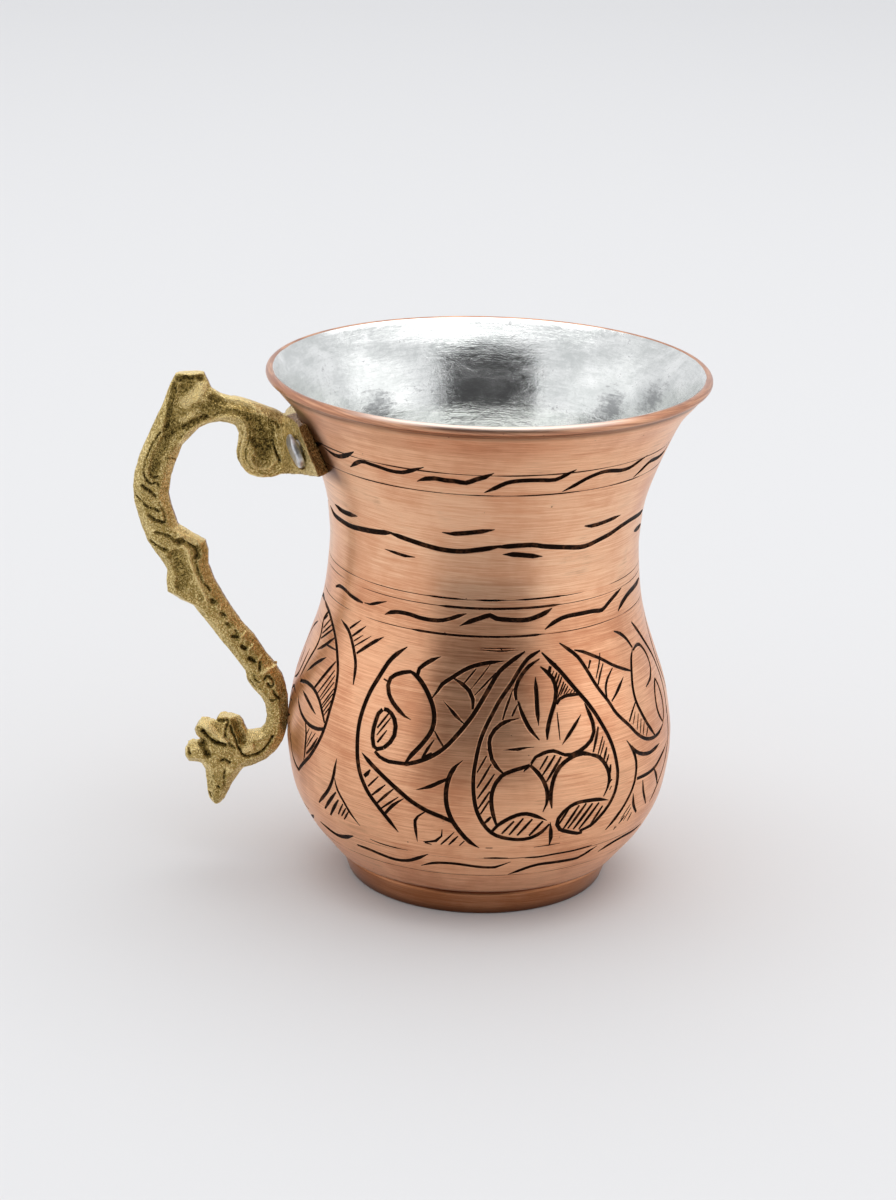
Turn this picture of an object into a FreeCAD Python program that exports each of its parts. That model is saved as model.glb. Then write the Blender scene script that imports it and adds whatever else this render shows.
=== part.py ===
import FreeCAD, Part
import math
import os

# Drinking mug: a spun copper body, tinned inside, with a cast brass handle held by two rivets.
# Origin at the centre of the foot on the table, +Z up, handle towards -X. All sizes in mm.

Vector = FreeCAD.Vector

# Body sizes
mug_height = 100.0
rim_radius = 41.7
neck_radius = 29.3
neck_height = 66.0
belly_radius = 36.95
belly_height = 28.5
foot_radius = 24.7
foot_height = 5.2
foot_flare = 1.6
crease_depth = 0.6
crease_height = 0.7
shoulder_step = 1.5
copper_wall = 1.0
lip_bead_radius = 0.85
foot_ring_width = 2.4
floor_rise = 5.4
foot_rounding = 0.5
tin_coat = 0.15

# Handle sizes
handle_reach = 66.6
lug_drop = 14.0
touch_height = 30.0
handle_thickness = 5.0
handle_bevel = 1.7
belly_press = 0.05

# Lug sizes
lug_width_angle = 24.6
lug_above = 5.8
lug_below = 4.5
lug_lean = 0.55
lug_edge = 2.3
lug_ridge_low = 7.7
lug_ridge_high = 2.5
lug_hollow = 0.45
lug_root = 7.0
arch_root = 3.38

# Rivet sizes
rivet_head_radius = 3.3
rivet_head_height = 1.3
rivet_head_edge = 0.6
rivet_shank_radius = 1.9
rivet_tail_radius = 3.0
rivet_tail_height = 1.1
rivet_angle = 14.0
rivet_lean = 2.5
rivet_seat = 2.7
rivet_gap = 0.05
rivet_rise = 0.3
seat_margin = 0.35

overrun = 20.0

# Outer wall of the body: (share of the way, share of the change of radius)
foot_to_belly_shares = [(0.11, 0.22), (0.28, 0.54), (0.54, 0.845), (0.85, 0.985)]
belly_to_neck_shares = [(0.09, 0.02), (0.28, 0.185), (0.465, 0.485), (0.625, 0.745), (0.785, 0.91)]
neck_to_lip_shares = [(0.125, 0.01), (0.315, 0.075), (0.5, 0.235), (0.685, 0.44), (0.84, 0.65), (0.95, 0.9)]

# Handle stations: (outer reach, outer height), (inner reach, inner height), thickness.
# Height runs from where the handle touches the belly (0) to the middle of the lug (1),
# reach from the belly (0) to the handle's outermost point (1), and in the arch from its root at the lug.
grip_shares = [
    ((0.727, 1.207), (0.551, 1.212), 0.60),
    ((0.764, 1.168), (0.514, 1.170), 0.64),
    ((0.808, 1.103), (0.480, 1.120), 0.72),
    ((0.865, 1.036), (0.500, 1.065), 0.82),
    ((0.919, 0.971), (0.592, 1.014), 0.88),
    ((0.963, 0.912), (0.686, 0.959), 0.90),
    ((0.990, 0.862), (0.723, 0.907), 0.90),
    ((1.000, 0.810), (0.757, 0.854), 0.90),
    ((0.993, 0.757), (0.774, 0.786), 0.90),
    ((0.970, 0.712), (0.754, 0.736), 0.90),
    ((0.943, 0.668), (0.713, 0.678), 0.92),
    ((0.909, 0.620), (0.629, 0.648), 0.94),
    ((0.865, 0.584), (0.538, 0.623), 0.94),
    ((0.825, 0.554), (0.520, 0.589), 0.92),
    ((0.784, 0.518), (0.520, 0.541), 0.90),
    ((0.789, 0.475), (0.481, 0.486), 0.90),
    ((0.781, 0.439), (0.447, 0.454), 0.88),
    ((0.707, 0.414), (0.413, 0.423), 0.85),
    ((0.619, 0.393), (0.373, 0.388), 0.80),
    ((0.541, 0.341), (0.305, 0.336), 0.76),
    ((0.447, 0.275), (0.221, 0.286), 0.76),
    ((0.359, 0.216), (0.147, 0.225), 0.80),
    ((0.278, 0.161), (0.089, 0.186), 0.88),
    ((0.268, 0.129), (0.042, 0.150), 0.94),
    ((0.224, 0.093), (0.015, 0.105), 0.90),
    ((0.177, 0.068), (0.003, 0.064), 0.86),
    ((0.150, 0.039), (0.000, 0.021), 0.86),
    ((0.138, 0.000), (0.000, -0.014), 0.88),
    ((0.150, -0.036), (0.008, -0.050), 0.90),
    ((0.180, -0.055), (0.029, -0.089), 0.92),
    ((0.218, -0.059), (0.073, -0.129), 0.94),
    ((0.262, -0.062), (0.137, -0.163), 0.96),
    ((0.320, -0.080), (0.230, -0.186), 0.98),
    ((0.400, -0.095), (0.330, -0.205), 1.00),
    ((0.470, -0.095), (0.455, -0.200), 1.00),
    ((0.548, -0.092), (0.548, -0.188), 0.96),
]
arch_shares = [
    ((0.700, 1.015), (0.650, 1.110), 0.72),
    ((0.578, 1.020), (0.508, 1.160), 0.76),
    ((0.518, 1.036), (0.450, 1.139), 0.84),
    ((0.457, 1.043), (0.393, 1.130), 0.92),
    ((0.400, 1.041), (0.322, 1.126), 0.98),
    ((0.352, 1.032), (0.245, 1.114), 1.00),
    ((0.329, 1.007), (0.110, 1.090), 1.00),
    ((0.336, 0.973), (0.010, 1.060), 1.00),
    ((0.344, 0.942), (-0.050, 1.010), 1.00),
    ((0.336, 0.916), (-0.060, 0.960), 1.00),
    ((0.312, 0.890), (-0.050, 0.915), 0.98),
    ((0.272, 0.868), (-0.020, 0.884), 0.92),
    ((0.215, 0.854), (0.060, 0.866), 0.80),
]
# Leaf lobes of the finial, each from its root to its tip
lobe_shares = [
    [
        ((0.487, -0.130), (0.255, -0.125), 1.04),
        ((0.478, -0.063), (0.268, -0.057), 0.98),
        ((0.466, -0.024), (0.292, -0.024), 0.86),
        ((0.450, -0.006), (0.318, -0.008), 0.66),
    ],
    [
        ((0.491, -0.150), (0.370, -0.080), 0.98),
        ((0.548, -0.104), (0.437, -0.046), 0.92),
        ((0.595, -0.082), (0.487, -0.025), 0.84),
        ((0.609, -0.061), (0.572, -0.027), 0.62),
    ],
    [
        ((0.500, -0.090), (0.500, -0.190), 0.92),
        ((0.609, -0.105), (0.595, -0.180), 0.84),
        ((0.649, -0.116), (0.643, -0.179), 0.74),
        ((0.669, -0.132), (0.663, -0.164), 0.56),
    ],
    [
        ((0.575, -0.170), (0.255, -0.175), 1.02),
        ((0.538, -0.207), (0.312, -0.216), 0.94),
        ((0.528, -0.250), (0.356, -0.252), 0.86),
        ((0.524, -0.286), (0.386, -0.286), 0.78),
        ((0.514, -0.311), (0.410, -0.313), 0.66),
        ((0.487, -0.332), (0.440, -0.333), 0.46),
    ],
]
bevel_share = 0.34
parting_share = 0.3
ridge_share = 0.45


def spline(points):
    """Smooth curve through the points."""
    curve = Part.BSplineCurve()
    curve.interpolate(points)
    return curve


def stretch(low, high, shares):
    """Points between two (radius, height) places, at the given shares."""
    low_radius, low_height = low
    high_radius, high_height = high
    points = []
    for way, change in shares:
        radius = low_radius + change * (high_radius - low_radius)
        height = low_height + way * (high_height - low_height)
        points.append(Vector(radius, 0, height))
    return points


# Middle of the lug, kept to the lip
lug_height = mug_height - lug_drop

# Body profile, in the XZ plane with radius along X
shoulder = (foot_radius + foot_flare + shoulder_step, foot_height + crease_height)
belly = (belly_radius, belly_height)
neck = (neck_radius, neck_height)
lip_centre = Vector(rim_radius - lip_bead_radius, 0, mug_height - lip_bead_radius)
lip_under = (lip_centre.x, lip_centre.z - lip_bead_radius)
wall_points = (
    [Vector(shoulder[0], 0, shoulder[1])]
    + stretch(shoulder, belly, foot_to_belly_shares)
    + [Vector(belly[0], 0, belly[1])]
    + stretch(belly, neck, belly_to_neck_shares)
    + [Vector(neck[0], 0, neck[1])]
    + stretch(neck, lip_under, neck_to_lip_shares)
    + [Vector(lip_under[0], 0, lip_under[1])]
)
wall_curve = spline(wall_points)


def inner_wall(depth):
    """Points of the wall's curve moved inwards, square to it, by the depth."""
    moved = []
    for point in wall_points:
        tangent = Vector(*wall_curve.tangent(wall_curve.parameter(point))[0])
        inwards = Vector(-tangent.z, 0, tangent.x)
        moved.append(point + inwards * depth)
    return moved


def wall_place(height):
    """Place where the outer wall crosses a height, with radius along X."""
    plane = Part.Plane(Vector(0, 0, height), Vector(0, 0, 1))
    crossing = wall_curve.intersect(plane)[0][0]
    return Vector(crossing.X, crossing.Y, crossing.Z)


def wall_radius(height):
    """Outer radius of the body at a height."""
    return wall_place(height).x


def wall_slope(height):
    """Angle by which the outer wall leans outwards at a height."""
    tangent = wall_curve.tangent(wall_curve.parameter(wall_place(height)))[0]
    return math.degrees(math.atan2(tangent.x, tangent.z))


def turned(edges):
    """Solid of revolution about the mug's axis."""
    face = Part.Face(Part.Wire(edges))
    return face.revolve(Vector(0, 0, 0), Vector(0, 0, 1), 360)


def line(start, end):
    return Part.LineSegment(start, end).toShape()


def arc(start, middle, end):
    return Part.Arc(start, middle, end).toShape()


def cup_profile(depth, floor_top):
    """Inner edges of the cup from under the lip down to the axis."""
    points = inner_wall(depth)[1:]
    side = spline(points[::-1]).toShape()
    corner = points[0]
    drop = corner.z - floor_top
    turn = Vector(corner.x - drop, 0, floor_top)
    bend = Vector(corner.x - drop * (1 - math.cos(math.pi / 4)), 0, corner.z - drop * math.sin(math.pi / 4))
    centre = Vector(0, 0, floor_top)
    return points[-1], [side, arc(corner, bend, turn), line(turn, centre)], centre


def make_body():
    """Copper body: folded foot, belly, neck, flared mouth with a beaded lip."""
    foot_top = foot_radius + foot_flare
    under = Vector(0, 0, floor_rise)
    under_edge = Vector(foot_radius - foot_ring_width, 0, floor_rise)
    ring_in = Vector(under_edge.x, 0, foot_rounding)
    ring_low_in = Vector(under_edge.x + foot_rounding, 0, 0)
    ring_low_out = Vector(foot_radius - foot_rounding, 0, 0)
    ring_out = Vector(foot_radius, 0, foot_rounding)
    foot_edge = Vector(foot_top, 0, foot_height - crease_height)
    crease = Vector(foot_top - crease_depth, 0, foot_height)
    start = wall_points[0]
    floor_top = floor_rise + copper_wall
    mouth, inside, centre = cup_profile(copper_wall, floor_top)
    lip_out = Vector(rim_radius, 0, lip_centre.z)
    lip_top = Vector(lip_centre.x, 0, mug_height)
    low_out = lip_centre + (Vector(1, 0, -1) * (lip_bead_radius / math.sqrt(2)))
    high_out = lip_centre + (Vector(1, 0, 1) * (lip_bead_radius / math.sqrt(2)))
    edges = [
        line(centre, under),
        line(under, under_edge),
        line(under_edge, ring_in),
        line(ring_in, ring_low_in),
        line(ring_low_in, ring_low_out),
        line(ring_low_out, ring_out),
        line(ring_out, foot_edge),
        line(foot_edge, crease),
        line(crease, start),
        wall_curve.toShape(),
        arc(wall_points[-1], low_out, lip_out),
        arc(lip_out, high_out, lip_top),
        line(lip_top, mouth),
    ] + inside
    return turned(edges)


def make_lining():
    """Thin tin coat over the whole inside of the cup."""
    floor_top = floor_rise + copper_wall
    outer_mouth, outer_edges, outer_centre = cup_profile(copper_wall, floor_top)
    inner_mouth, inner_edges, inner_centre = cup_profile(copper_wall + tin_coat, floor_top + tin_coat)
    edges = outer_edges + [line(outer_centre, inner_centre)] + inner_edges[::-1] + [line(inner_mouth, outer_mouth)]
    return turned(edges)


def make_envelope():
    """Everything inside the outer wall, to seat the handle against it."""
    low = Vector(0, 0, wall_points[0].z)
    high = Vector(0, 0, wall_points[-1].z)
    edges = [line(low, wall_points[0]), wall_curve.toShape(), line(wall_points[-1], high), line(high, low)]
    return turned(edges)


def inside_space():
    """The hollow of the cup inside the tin coat."""
    depth = copper_wall + tin_coat
    mouth, edges, centre = cup_profile(depth, floor_rise + depth)
    top = Vector(0, 0, mouth.z)
    return turned(edges + [line(centre, top), line(top, mouth)])


def handle_point(root, shares):
    """Place in the handle's plane from its reach and height shares, with reach 0 at the root's radius."""
    reach, height = shares
    x = root + reach * (handle_reach - root)
    z = touch_height + height * (lug_height - touch_height)
    return Vector(-x, 0, z)


def cast_section(outer, inner, thickness):
    """Eight-sided section across the casting, drafted both ways from its parting line."""
    across = inner - outer
    width = across.Length
    across.normalize()
    half = thickness * handle_thickness / 2
    bevel = min(handle_bevel, bevel_share * width)
    edge = parting_share * half
    corners = [(0, edge), (bevel, half), (width - bevel, half), (width, edge)]
    front = [outer + across * along + Vector(0, -side, 0) for along, side in corners]
    back = [outer + across * along + Vector(0, side, 0) for along, side in reversed(corners)]
    return Part.makePolygon(front + back + front[:1])


def cast_bar(root, stations):
    """Casting through a row of sections."""
    sections = []
    for outer, inner, thickness in stations:
        sections.append(cast_section(handle_point(root, outer), handle_point(root, inner), thickness))
    return Part.makeLoft(sections, True, True)


def lug_place():
    """Frame at the wall behind the lug: X out of the wall, Z along its slope."""
    tilt = FreeCAD.Rotation(Vector(0, 1, 0), wall_slope(lug_height) + lug_lean)
    turn = FreeCAD.Rotation(Vector(0, 0, 1), 180).multiply(tilt)
    return FreeCAD.Placement(Vector(-wall_radius(lug_height), 0, lug_height), turn)


def lug_section(ridge, along):
    """Lug section across the handle: a central ridge that flares into two wings."""
    seat_radius = wall_radius(lug_height)
    half = ridge_share * handle_thickness
    wing = math.radians(lug_width_angle)
    tip = Vector(math.cos(wing), math.sin(wing), 0)
    centre = Vector(-seat_radius, 0, along)
    wing_out = centre + tip * (seat_radius + lug_edge)
    wing_in = centre + tip * (seat_radius - lug_root)
    ridge_side = Vector(ridge, half, along)
    flank = wing_out - ridge_side
    middle = ridge_side + flank / 2 - Vector(flank.y, -flank.x, 0).normalize() * lug_hollow
    flip = lambda point: Vector(point.x, -point.y, point.z)
    return Part.Wire([
        line(flip(ridge_side), ridge_side),
        arc(ridge_side, middle, wing_out),
        line(wing_out, wing_in),
        line(wing_in, flip(wing_in)),
        line(flip(wing_in), flip(wing_out)),
        arc(flip(wing_out), flip(middle), flip(ridge_side)),
    ])


def make_lug():
    """Winged foot of the handle that the rivets hold to the neck."""
    low = lug_section(lug_ridge_low, -lug_below)
    high = lug_section(lug_ridge_high, lug_above)
    lug = Part.makeLoft([low, high], True, True)
    lug.Placement = lug_place()
    return lug


def rivet_place(side):
    """Frame at the seat of one rivet's head: Z out along the rivet."""
    seat_radius = wall_radius(lug_height)
    angle = math.radians(rivet_angle)
    reach = seat_radius + rivet_seat
    seat = Vector(reach * math.cos(angle) - seat_radius, side * reach * math.sin(angle), rivet_rise)
    lean = FreeCAD.Rotation(Vector(0, 0, 1), side * (rivet_angle + rivet_lean))
    upright = FreeCAD.Rotation(Vector(0, 1, 0), 90)
    return lug_place().multiply(FreeCAD.Placement(seat, lean.multiply(upright)))


def rivet_shaft(radius, start, length):
    return Part.makeCylinder(radius, length, Vector(0, 0, start))


def make_rivet(side, inside):
    """Rivet: flat head with a rounded edge, shank, and tail spread inside the cup."""
    place = rivet_place(side)
    edge = rivet_head_radius - rivet_head_edge
    rim_middle = Vector(edge + rivet_head_edge * math.sin(math.pi / 4), 0,
                        rivet_head_height - rivet_head_edge * (1 - math.cos(math.pi / 4)))
    shank_end = -(rivet_seat + copper_wall + tin_coat + rivet_tail_height)
    foot = Vector(0, 0, 0)
    head_low = Vector(rivet_head_radius, 0, 0)
    head_side = Vector(rivet_head_radius, 0, rivet_head_height - rivet_head_edge)
    head_top = Vector(edge, 0, rivet_head_height)
    crown = Vector(0, 0, rivet_head_height)
    head = turned([
        line(foot, head_low),
        line(head_low, head_side),
        arc(head_side, rim_middle, head_top),
        line(head_top, crown),
        line(crown, foot),
    ])
    shank = rivet_shaft(rivet_shank_radius, shank_end, -shank_end + rivet_head_edge / 2)
    tail_top = shank_end + rivet_tail_height * 2
    tail = turned([
        line(Vector(0, 0, shank_end), Vector(rivet_shank_radius, 0, shank_end)),
        arc(Vector(rivet_shank_radius, 0, shank_end),
            Vector(rivet_tail_radius - rivet_tail_height * (1 - math.cos(math.pi / 4)), 0,
                   shank_end + rivet_tail_height * (1 - math.sin(math.pi / 4))),
            Vector(rivet_tail_radius, 0, shank_end + rivet_tail_height)),
        line(Vector(rivet_tail_radius, 0, shank_end + rivet_tail_height), Vector(rivet_tail_radius, 0, tail_top)),
        line(Vector(rivet_tail_radius, 0, tail_top), Vector(0, 0, tail_top)),
        line(Vector(0, 0, tail_top), Vector(0, 0, shank_end)),
    ])
    tail.Placement = place
    tail = tail.common(inside)
    head.Placement = place
    shank.Placement = place
    return head.multiFuse([shank, tail]).removeSplitter()


def rivet_hole(side):
    """Room for one rivet's shank, with its running gap."""
    hole = rivet_shaft(rivet_shank_radius + rivet_gap, -overrun / 2, overrun)
    hole.Placement = rivet_place(side)
    return hole


def rivet_spotface(side):
    """Flat seat cut into the lug's flank for one rivet's head."""
    seat = rivet_shaft(rivet_head_radius + seat_margin, 0, overrun / 2)
    seat.Placement = rivet_place(side)
    return seat


def make_handle():
    """Cast handle: lug, arch with a hanging scroll, thumb piece, grip, hook and leaf finial."""
    touch = belly_radius - belly_press
    casting = cast_bar(touch, grip_shares)
    arch = cast_bar(wall_radius(lug_height) + arch_root, arch_shares)
    for piece in [arch, make_lug()] + [cast_bar(touch, lobe) for lobe in lobe_shares]:
        casting = casting.fuse(piece)
    casting = casting.cut(make_envelope())
    tools = [rivet_spotface(side) for side in (1, -1)] + [rivet_hole(side) for side in (1, -1)]
    casting = casting.cut(tools).removeSplitter()
    return max(casting.Solids, key=lambda solid: solid.Volume)


def main():
    os.makedirs("parts", exist_ok=True)
    holes = [rivet_hole(side) for side in (1, -1)]
    body = make_body()
    lining = make_lining()
    solids = {
        "copper_body": body.cut(holes),
        "tin_lining": lining.cut(holes),
        "brass_handle": make_handle(),
    }
    inside = inside_space()
    for name, side in (("front_rivet", 1), ("back_rivet", -1)):
        solids[name] = make_rivet(side, inside)
    for name, shape in solids.items():
        print(name, shape.ShapeType, len(shape.Solids), shape.isValid(), round(shape.Volume, 1), len(shape.Faces))
        shape.exportStep(f"parts/{name}.step")


main()
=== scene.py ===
import math
from bisect import bisect_right
import bpy
import bmesh
from mathutils import Matrix, Vector, kdtree, noise


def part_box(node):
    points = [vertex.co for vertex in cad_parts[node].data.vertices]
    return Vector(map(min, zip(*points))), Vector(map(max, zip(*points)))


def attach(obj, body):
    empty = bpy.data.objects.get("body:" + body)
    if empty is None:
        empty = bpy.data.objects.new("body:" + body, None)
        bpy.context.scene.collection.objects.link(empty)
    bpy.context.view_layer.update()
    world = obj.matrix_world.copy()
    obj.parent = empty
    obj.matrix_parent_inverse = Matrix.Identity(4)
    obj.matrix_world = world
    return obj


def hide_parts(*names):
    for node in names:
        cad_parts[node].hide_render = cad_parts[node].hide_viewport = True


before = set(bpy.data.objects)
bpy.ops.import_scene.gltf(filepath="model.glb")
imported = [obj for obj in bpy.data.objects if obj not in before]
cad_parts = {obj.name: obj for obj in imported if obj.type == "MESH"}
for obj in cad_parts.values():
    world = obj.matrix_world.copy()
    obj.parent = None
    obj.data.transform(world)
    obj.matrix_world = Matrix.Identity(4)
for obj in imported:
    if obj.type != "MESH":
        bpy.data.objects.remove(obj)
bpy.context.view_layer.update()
mm = 0.001
mergeDistance = 0.005
seamMerge = 0.002
creaseAngle = 60


class Shade:
    # A shader socket; sums written with it add Math nodes to the same tree.
    def __init__(self, tree, socket=None):
        self.tree = tree
        self.socket = socket

    def node(self, kind, settings, inputs, output=0):
        made = self.tree.nodes.new(kind)
        for name, value in settings.items():
            setattr(made, name, value)
        for name, value in inputs.items():
            if isinstance(value, Shade):
                self.tree.links.new(value.socket, made.inputs[name])
            else:
                made.inputs[name].default_value = value
        return Shade(self.tree, made.outputs[output])

    def math(self, operation, first, *others):
        return self.node("ShaderNodeMath", {"operation": operation}, dict(enumerate((first,) + others)))

    def __add__(self, other):
        return self.math("ADD", self, other)

    def __radd__(self, other):
        return self.math("ADD", other, self)

    def __sub__(self, other):
        return self.math("SUBTRACT", self, other)

    def __rsub__(self, other):
        return self.math("SUBTRACT", other, self)

    def __mul__(self, other):
        return self.math("MULTIPLY", self, other)

    def __rmul__(self, other):
        return self.math("MULTIPLY", other, self)

    def __truediv__(self, other):
        return self.math("DIVIDE", self, other)

    def larger(self, other):
        return self.math("MAXIMUM", self, other)

    def between(self, low, high):
        # 0 below low, 1 above high, smooth in between
        return self.node("ShaderNodeMapRange", {"interpolation_type": "SMOOTHSTEP"},
                         {"Value": self, "From Min": low, "From Max": high})

    def colours(self, first, second):
        return self.node("ShaderNodeMix", {"data_type": "RGBA"}, {0: self, 6: first, 7: second}, 2)

    def stretched(self, x, y, z):
        return self.node("ShaderNodeVectorMath", {"operation": "MULTIPLY"}, {0: self, 1: (x, y, z)})

    def cloud(self, scale, detail=3.0, roughness=0.55, distortion=0.0):
        return self.node("ShaderNodeTexNoise", {"normalize": True},
                         {"Vector": self, "Scale": scale, "Detail": detail, "Roughness": roughness,
                          "Distortion": distortion})

    def axis(self, name):
        return self.node("ShaderNodeSeparateXYZ", {}, {"Vector": self}, name)

    def distanceTo(self, spot):
        return self.node("ShaderNodeVectorMath", {"operation": "DISTANCE"}, {0: self, 1: spot}, "Value")

    def bumped(self, distance, strength):
        return self.node("ShaderNodeBump", {},
                         {"Height": self, "Distance": distance * mm, "Strength": strength})


def newMaterial(name):
    # The material, and the place in millimetres to draw its patterns from
    material = bpy.data.materials.new(name)
    material.use_nodes = True
    start = Shade(material.node_tree)
    place = start.node("ShaderNodeTexCoord", {}, {}, "Object").stretched(1 / mm, 1 / mm, 1 / mm)
    return material, place


def setSurface(material, values):
    surface = material.node_tree.nodes["Principled BSDF"]
    for name, value in values.items():
        if isinstance(value, Shade):
            material.node_tree.links.new(value.socket, surface.inputs[name])
        else:
            surface.inputs[name].default_value = value
    return material


def attribute(place, name):
    return place.node("ShaderNodeAttribute", {"attribute_name": name}, {}, "Fac")


def smoothLine(points, spacing):
    # A smooth line through all the points, sampled about every spacing
    points = [Vector(point) for point in points]
    ends = [2 * points[0] - points[1]] + points + [2 * points[-1] - points[-2]]
    line = []
    for a, b, c, d in zip(ends, ends[1:], ends[2:], ends[3:]):
        steps = max(1, round((c - b).length / spacing))
        for i in range(steps):
            t = i / steps
            line.append(0.5 * (2 * b + (c - a) * t + (2 * a - 5 * b + 4 * c - d) * t ** 2
                               + (3 * b - a - 3 * c + d) * t ** 3))
    return line + [points[-1]]


def newObject(name, mesh):
    made = bpy.data.objects.new(name, mesh)
    bpy.context.scene.collection.objects.link(made)
    return made


def applyModifiers(thing):
    bpy.context.view_layer.update()
    shape = bpy.data.meshes.new_from_object(thing.evaluated_get(bpy.context.evaluated_depsgraph_get()))
    thing.modifiers.clear()
    thing.data = shape
    return thing


def cutAway(thing, cutter):
    # The second solver takes over where the first loses the wall
    before = len(thing.data.vertices)
    for solver in ("MANIFOLD", "EXACT"):
        modifier = thing.modifiers.new("cut", "BOOLEAN")
        modifier.operation = "DIFFERENCE"
        modifier.solver = solver
        modifier.object = cutter
        original = thing.data
        applyModifiers(thing)
        if len(thing.data.vertices) > before / 2:
            break
        thing.data = original
    bpy.data.objects.remove(cutter)
    return thing


def remeshedCopy(node, name, voxel, rounds):
    # A finely remeshed copy of a solid, ready to be worked; the solid itself stays as it is
    shape = bmesh.new()
    shape.from_mesh(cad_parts[node].data)
    bmesh.ops.remove_doubles(shape, verts=shape.verts, dist=mergeDistance * mm)
    mesh = bpy.data.meshes.new(name)
    shape.to_mesh(mesh)
    shape.free()
    made = newObject(name, mesh)
    remesh = made.modifiers.new("remesh", "REMESH")
    remesh.mode = "VOXEL"
    remesh.voxel_size = voxel * mm
    smooth = made.modifiers.new("smooth", "SMOOTH")
    smooth.iterations = rounds
    return applyModifiers(made)


def giveMaterial(thing, material):
    thing.data.materials.clear()
    thing.data.materials.append(material)


# Copper cup: spun wall, turned lines, then every engraved stroke is cut out of it.
cup = {
    "steps": 256,
    "thickness": 1.0,
    "lineDepth": 0.07,
    "lineWidth": 0.26,
    "neckLineWidth": 0.5,
    "strokeSpacing": 1.1,
    "widthAdded": 0.06,
    "widthGrowth": 1.12,
    "cutDepth": 0.3,
    "taper": 2.4,
    "meanRadius": 33,
    "touchReach": 2.4,
    "batchGap": 1.1,
    "rimDepth": 0.04,
    "rimWidth": 0.1,
    "hookTouch": (-37, 0, 29),
    "beadCentre": (40.85, 99.15),
    "beadRadius": 0.85,
}
wallPoints = [
    (27.8, 5.9), (29.813, 8.386), (32.741, 12.228), (35.532, 18.104), (36.813, 25.11), (36.95, 28.5),
    (36.797, 31.875), (35.535, 39.0), (33.24, 45.938), (31.251, 51.938), (29.989, 57.938), (29.3, 66.0),
    (29.416, 70.037), (30.166, 76.175), (32.014, 82.15), (34.382, 88.126), (36.808, 93.132),
    (39.695, 96.685), (40.85, 98.3),
]
turnedLines = [11.07, 15.49, 57.43, 62.6, 64.15, 85.05, 89.3]
wallLine = smoothLine(wallPoints, 1.0)
wallHeights = [point.y for point in wallLine]


def wallRadius(height):
    i = min(max(bisect_right(wallHeights, height), 1), len(wallLine) - 1)
    a, b = wallLine[i - 1], wallLine[i]
    return a.x + (b.x - a.x) * (height - a.y) / (b.y - a.y)


def wallNormal(height):
    slope = (wallRadius(height + 0.4) - wallRadius(height - 0.4)) / 0.8
    return Vector((1, -slope)).normalized()


def onWall(turn, height, lift):
    # turn 0 faces the handle, 90 the front, 180 the far side from the handle
    out = wallNormal(height)
    radius = wallRadius(height) + out.x * lift
    turn = math.radians(turn)
    return Vector((-radius * math.cos(turn), -radius * math.sin(turn), height + out.y * lift)) * mm


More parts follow.
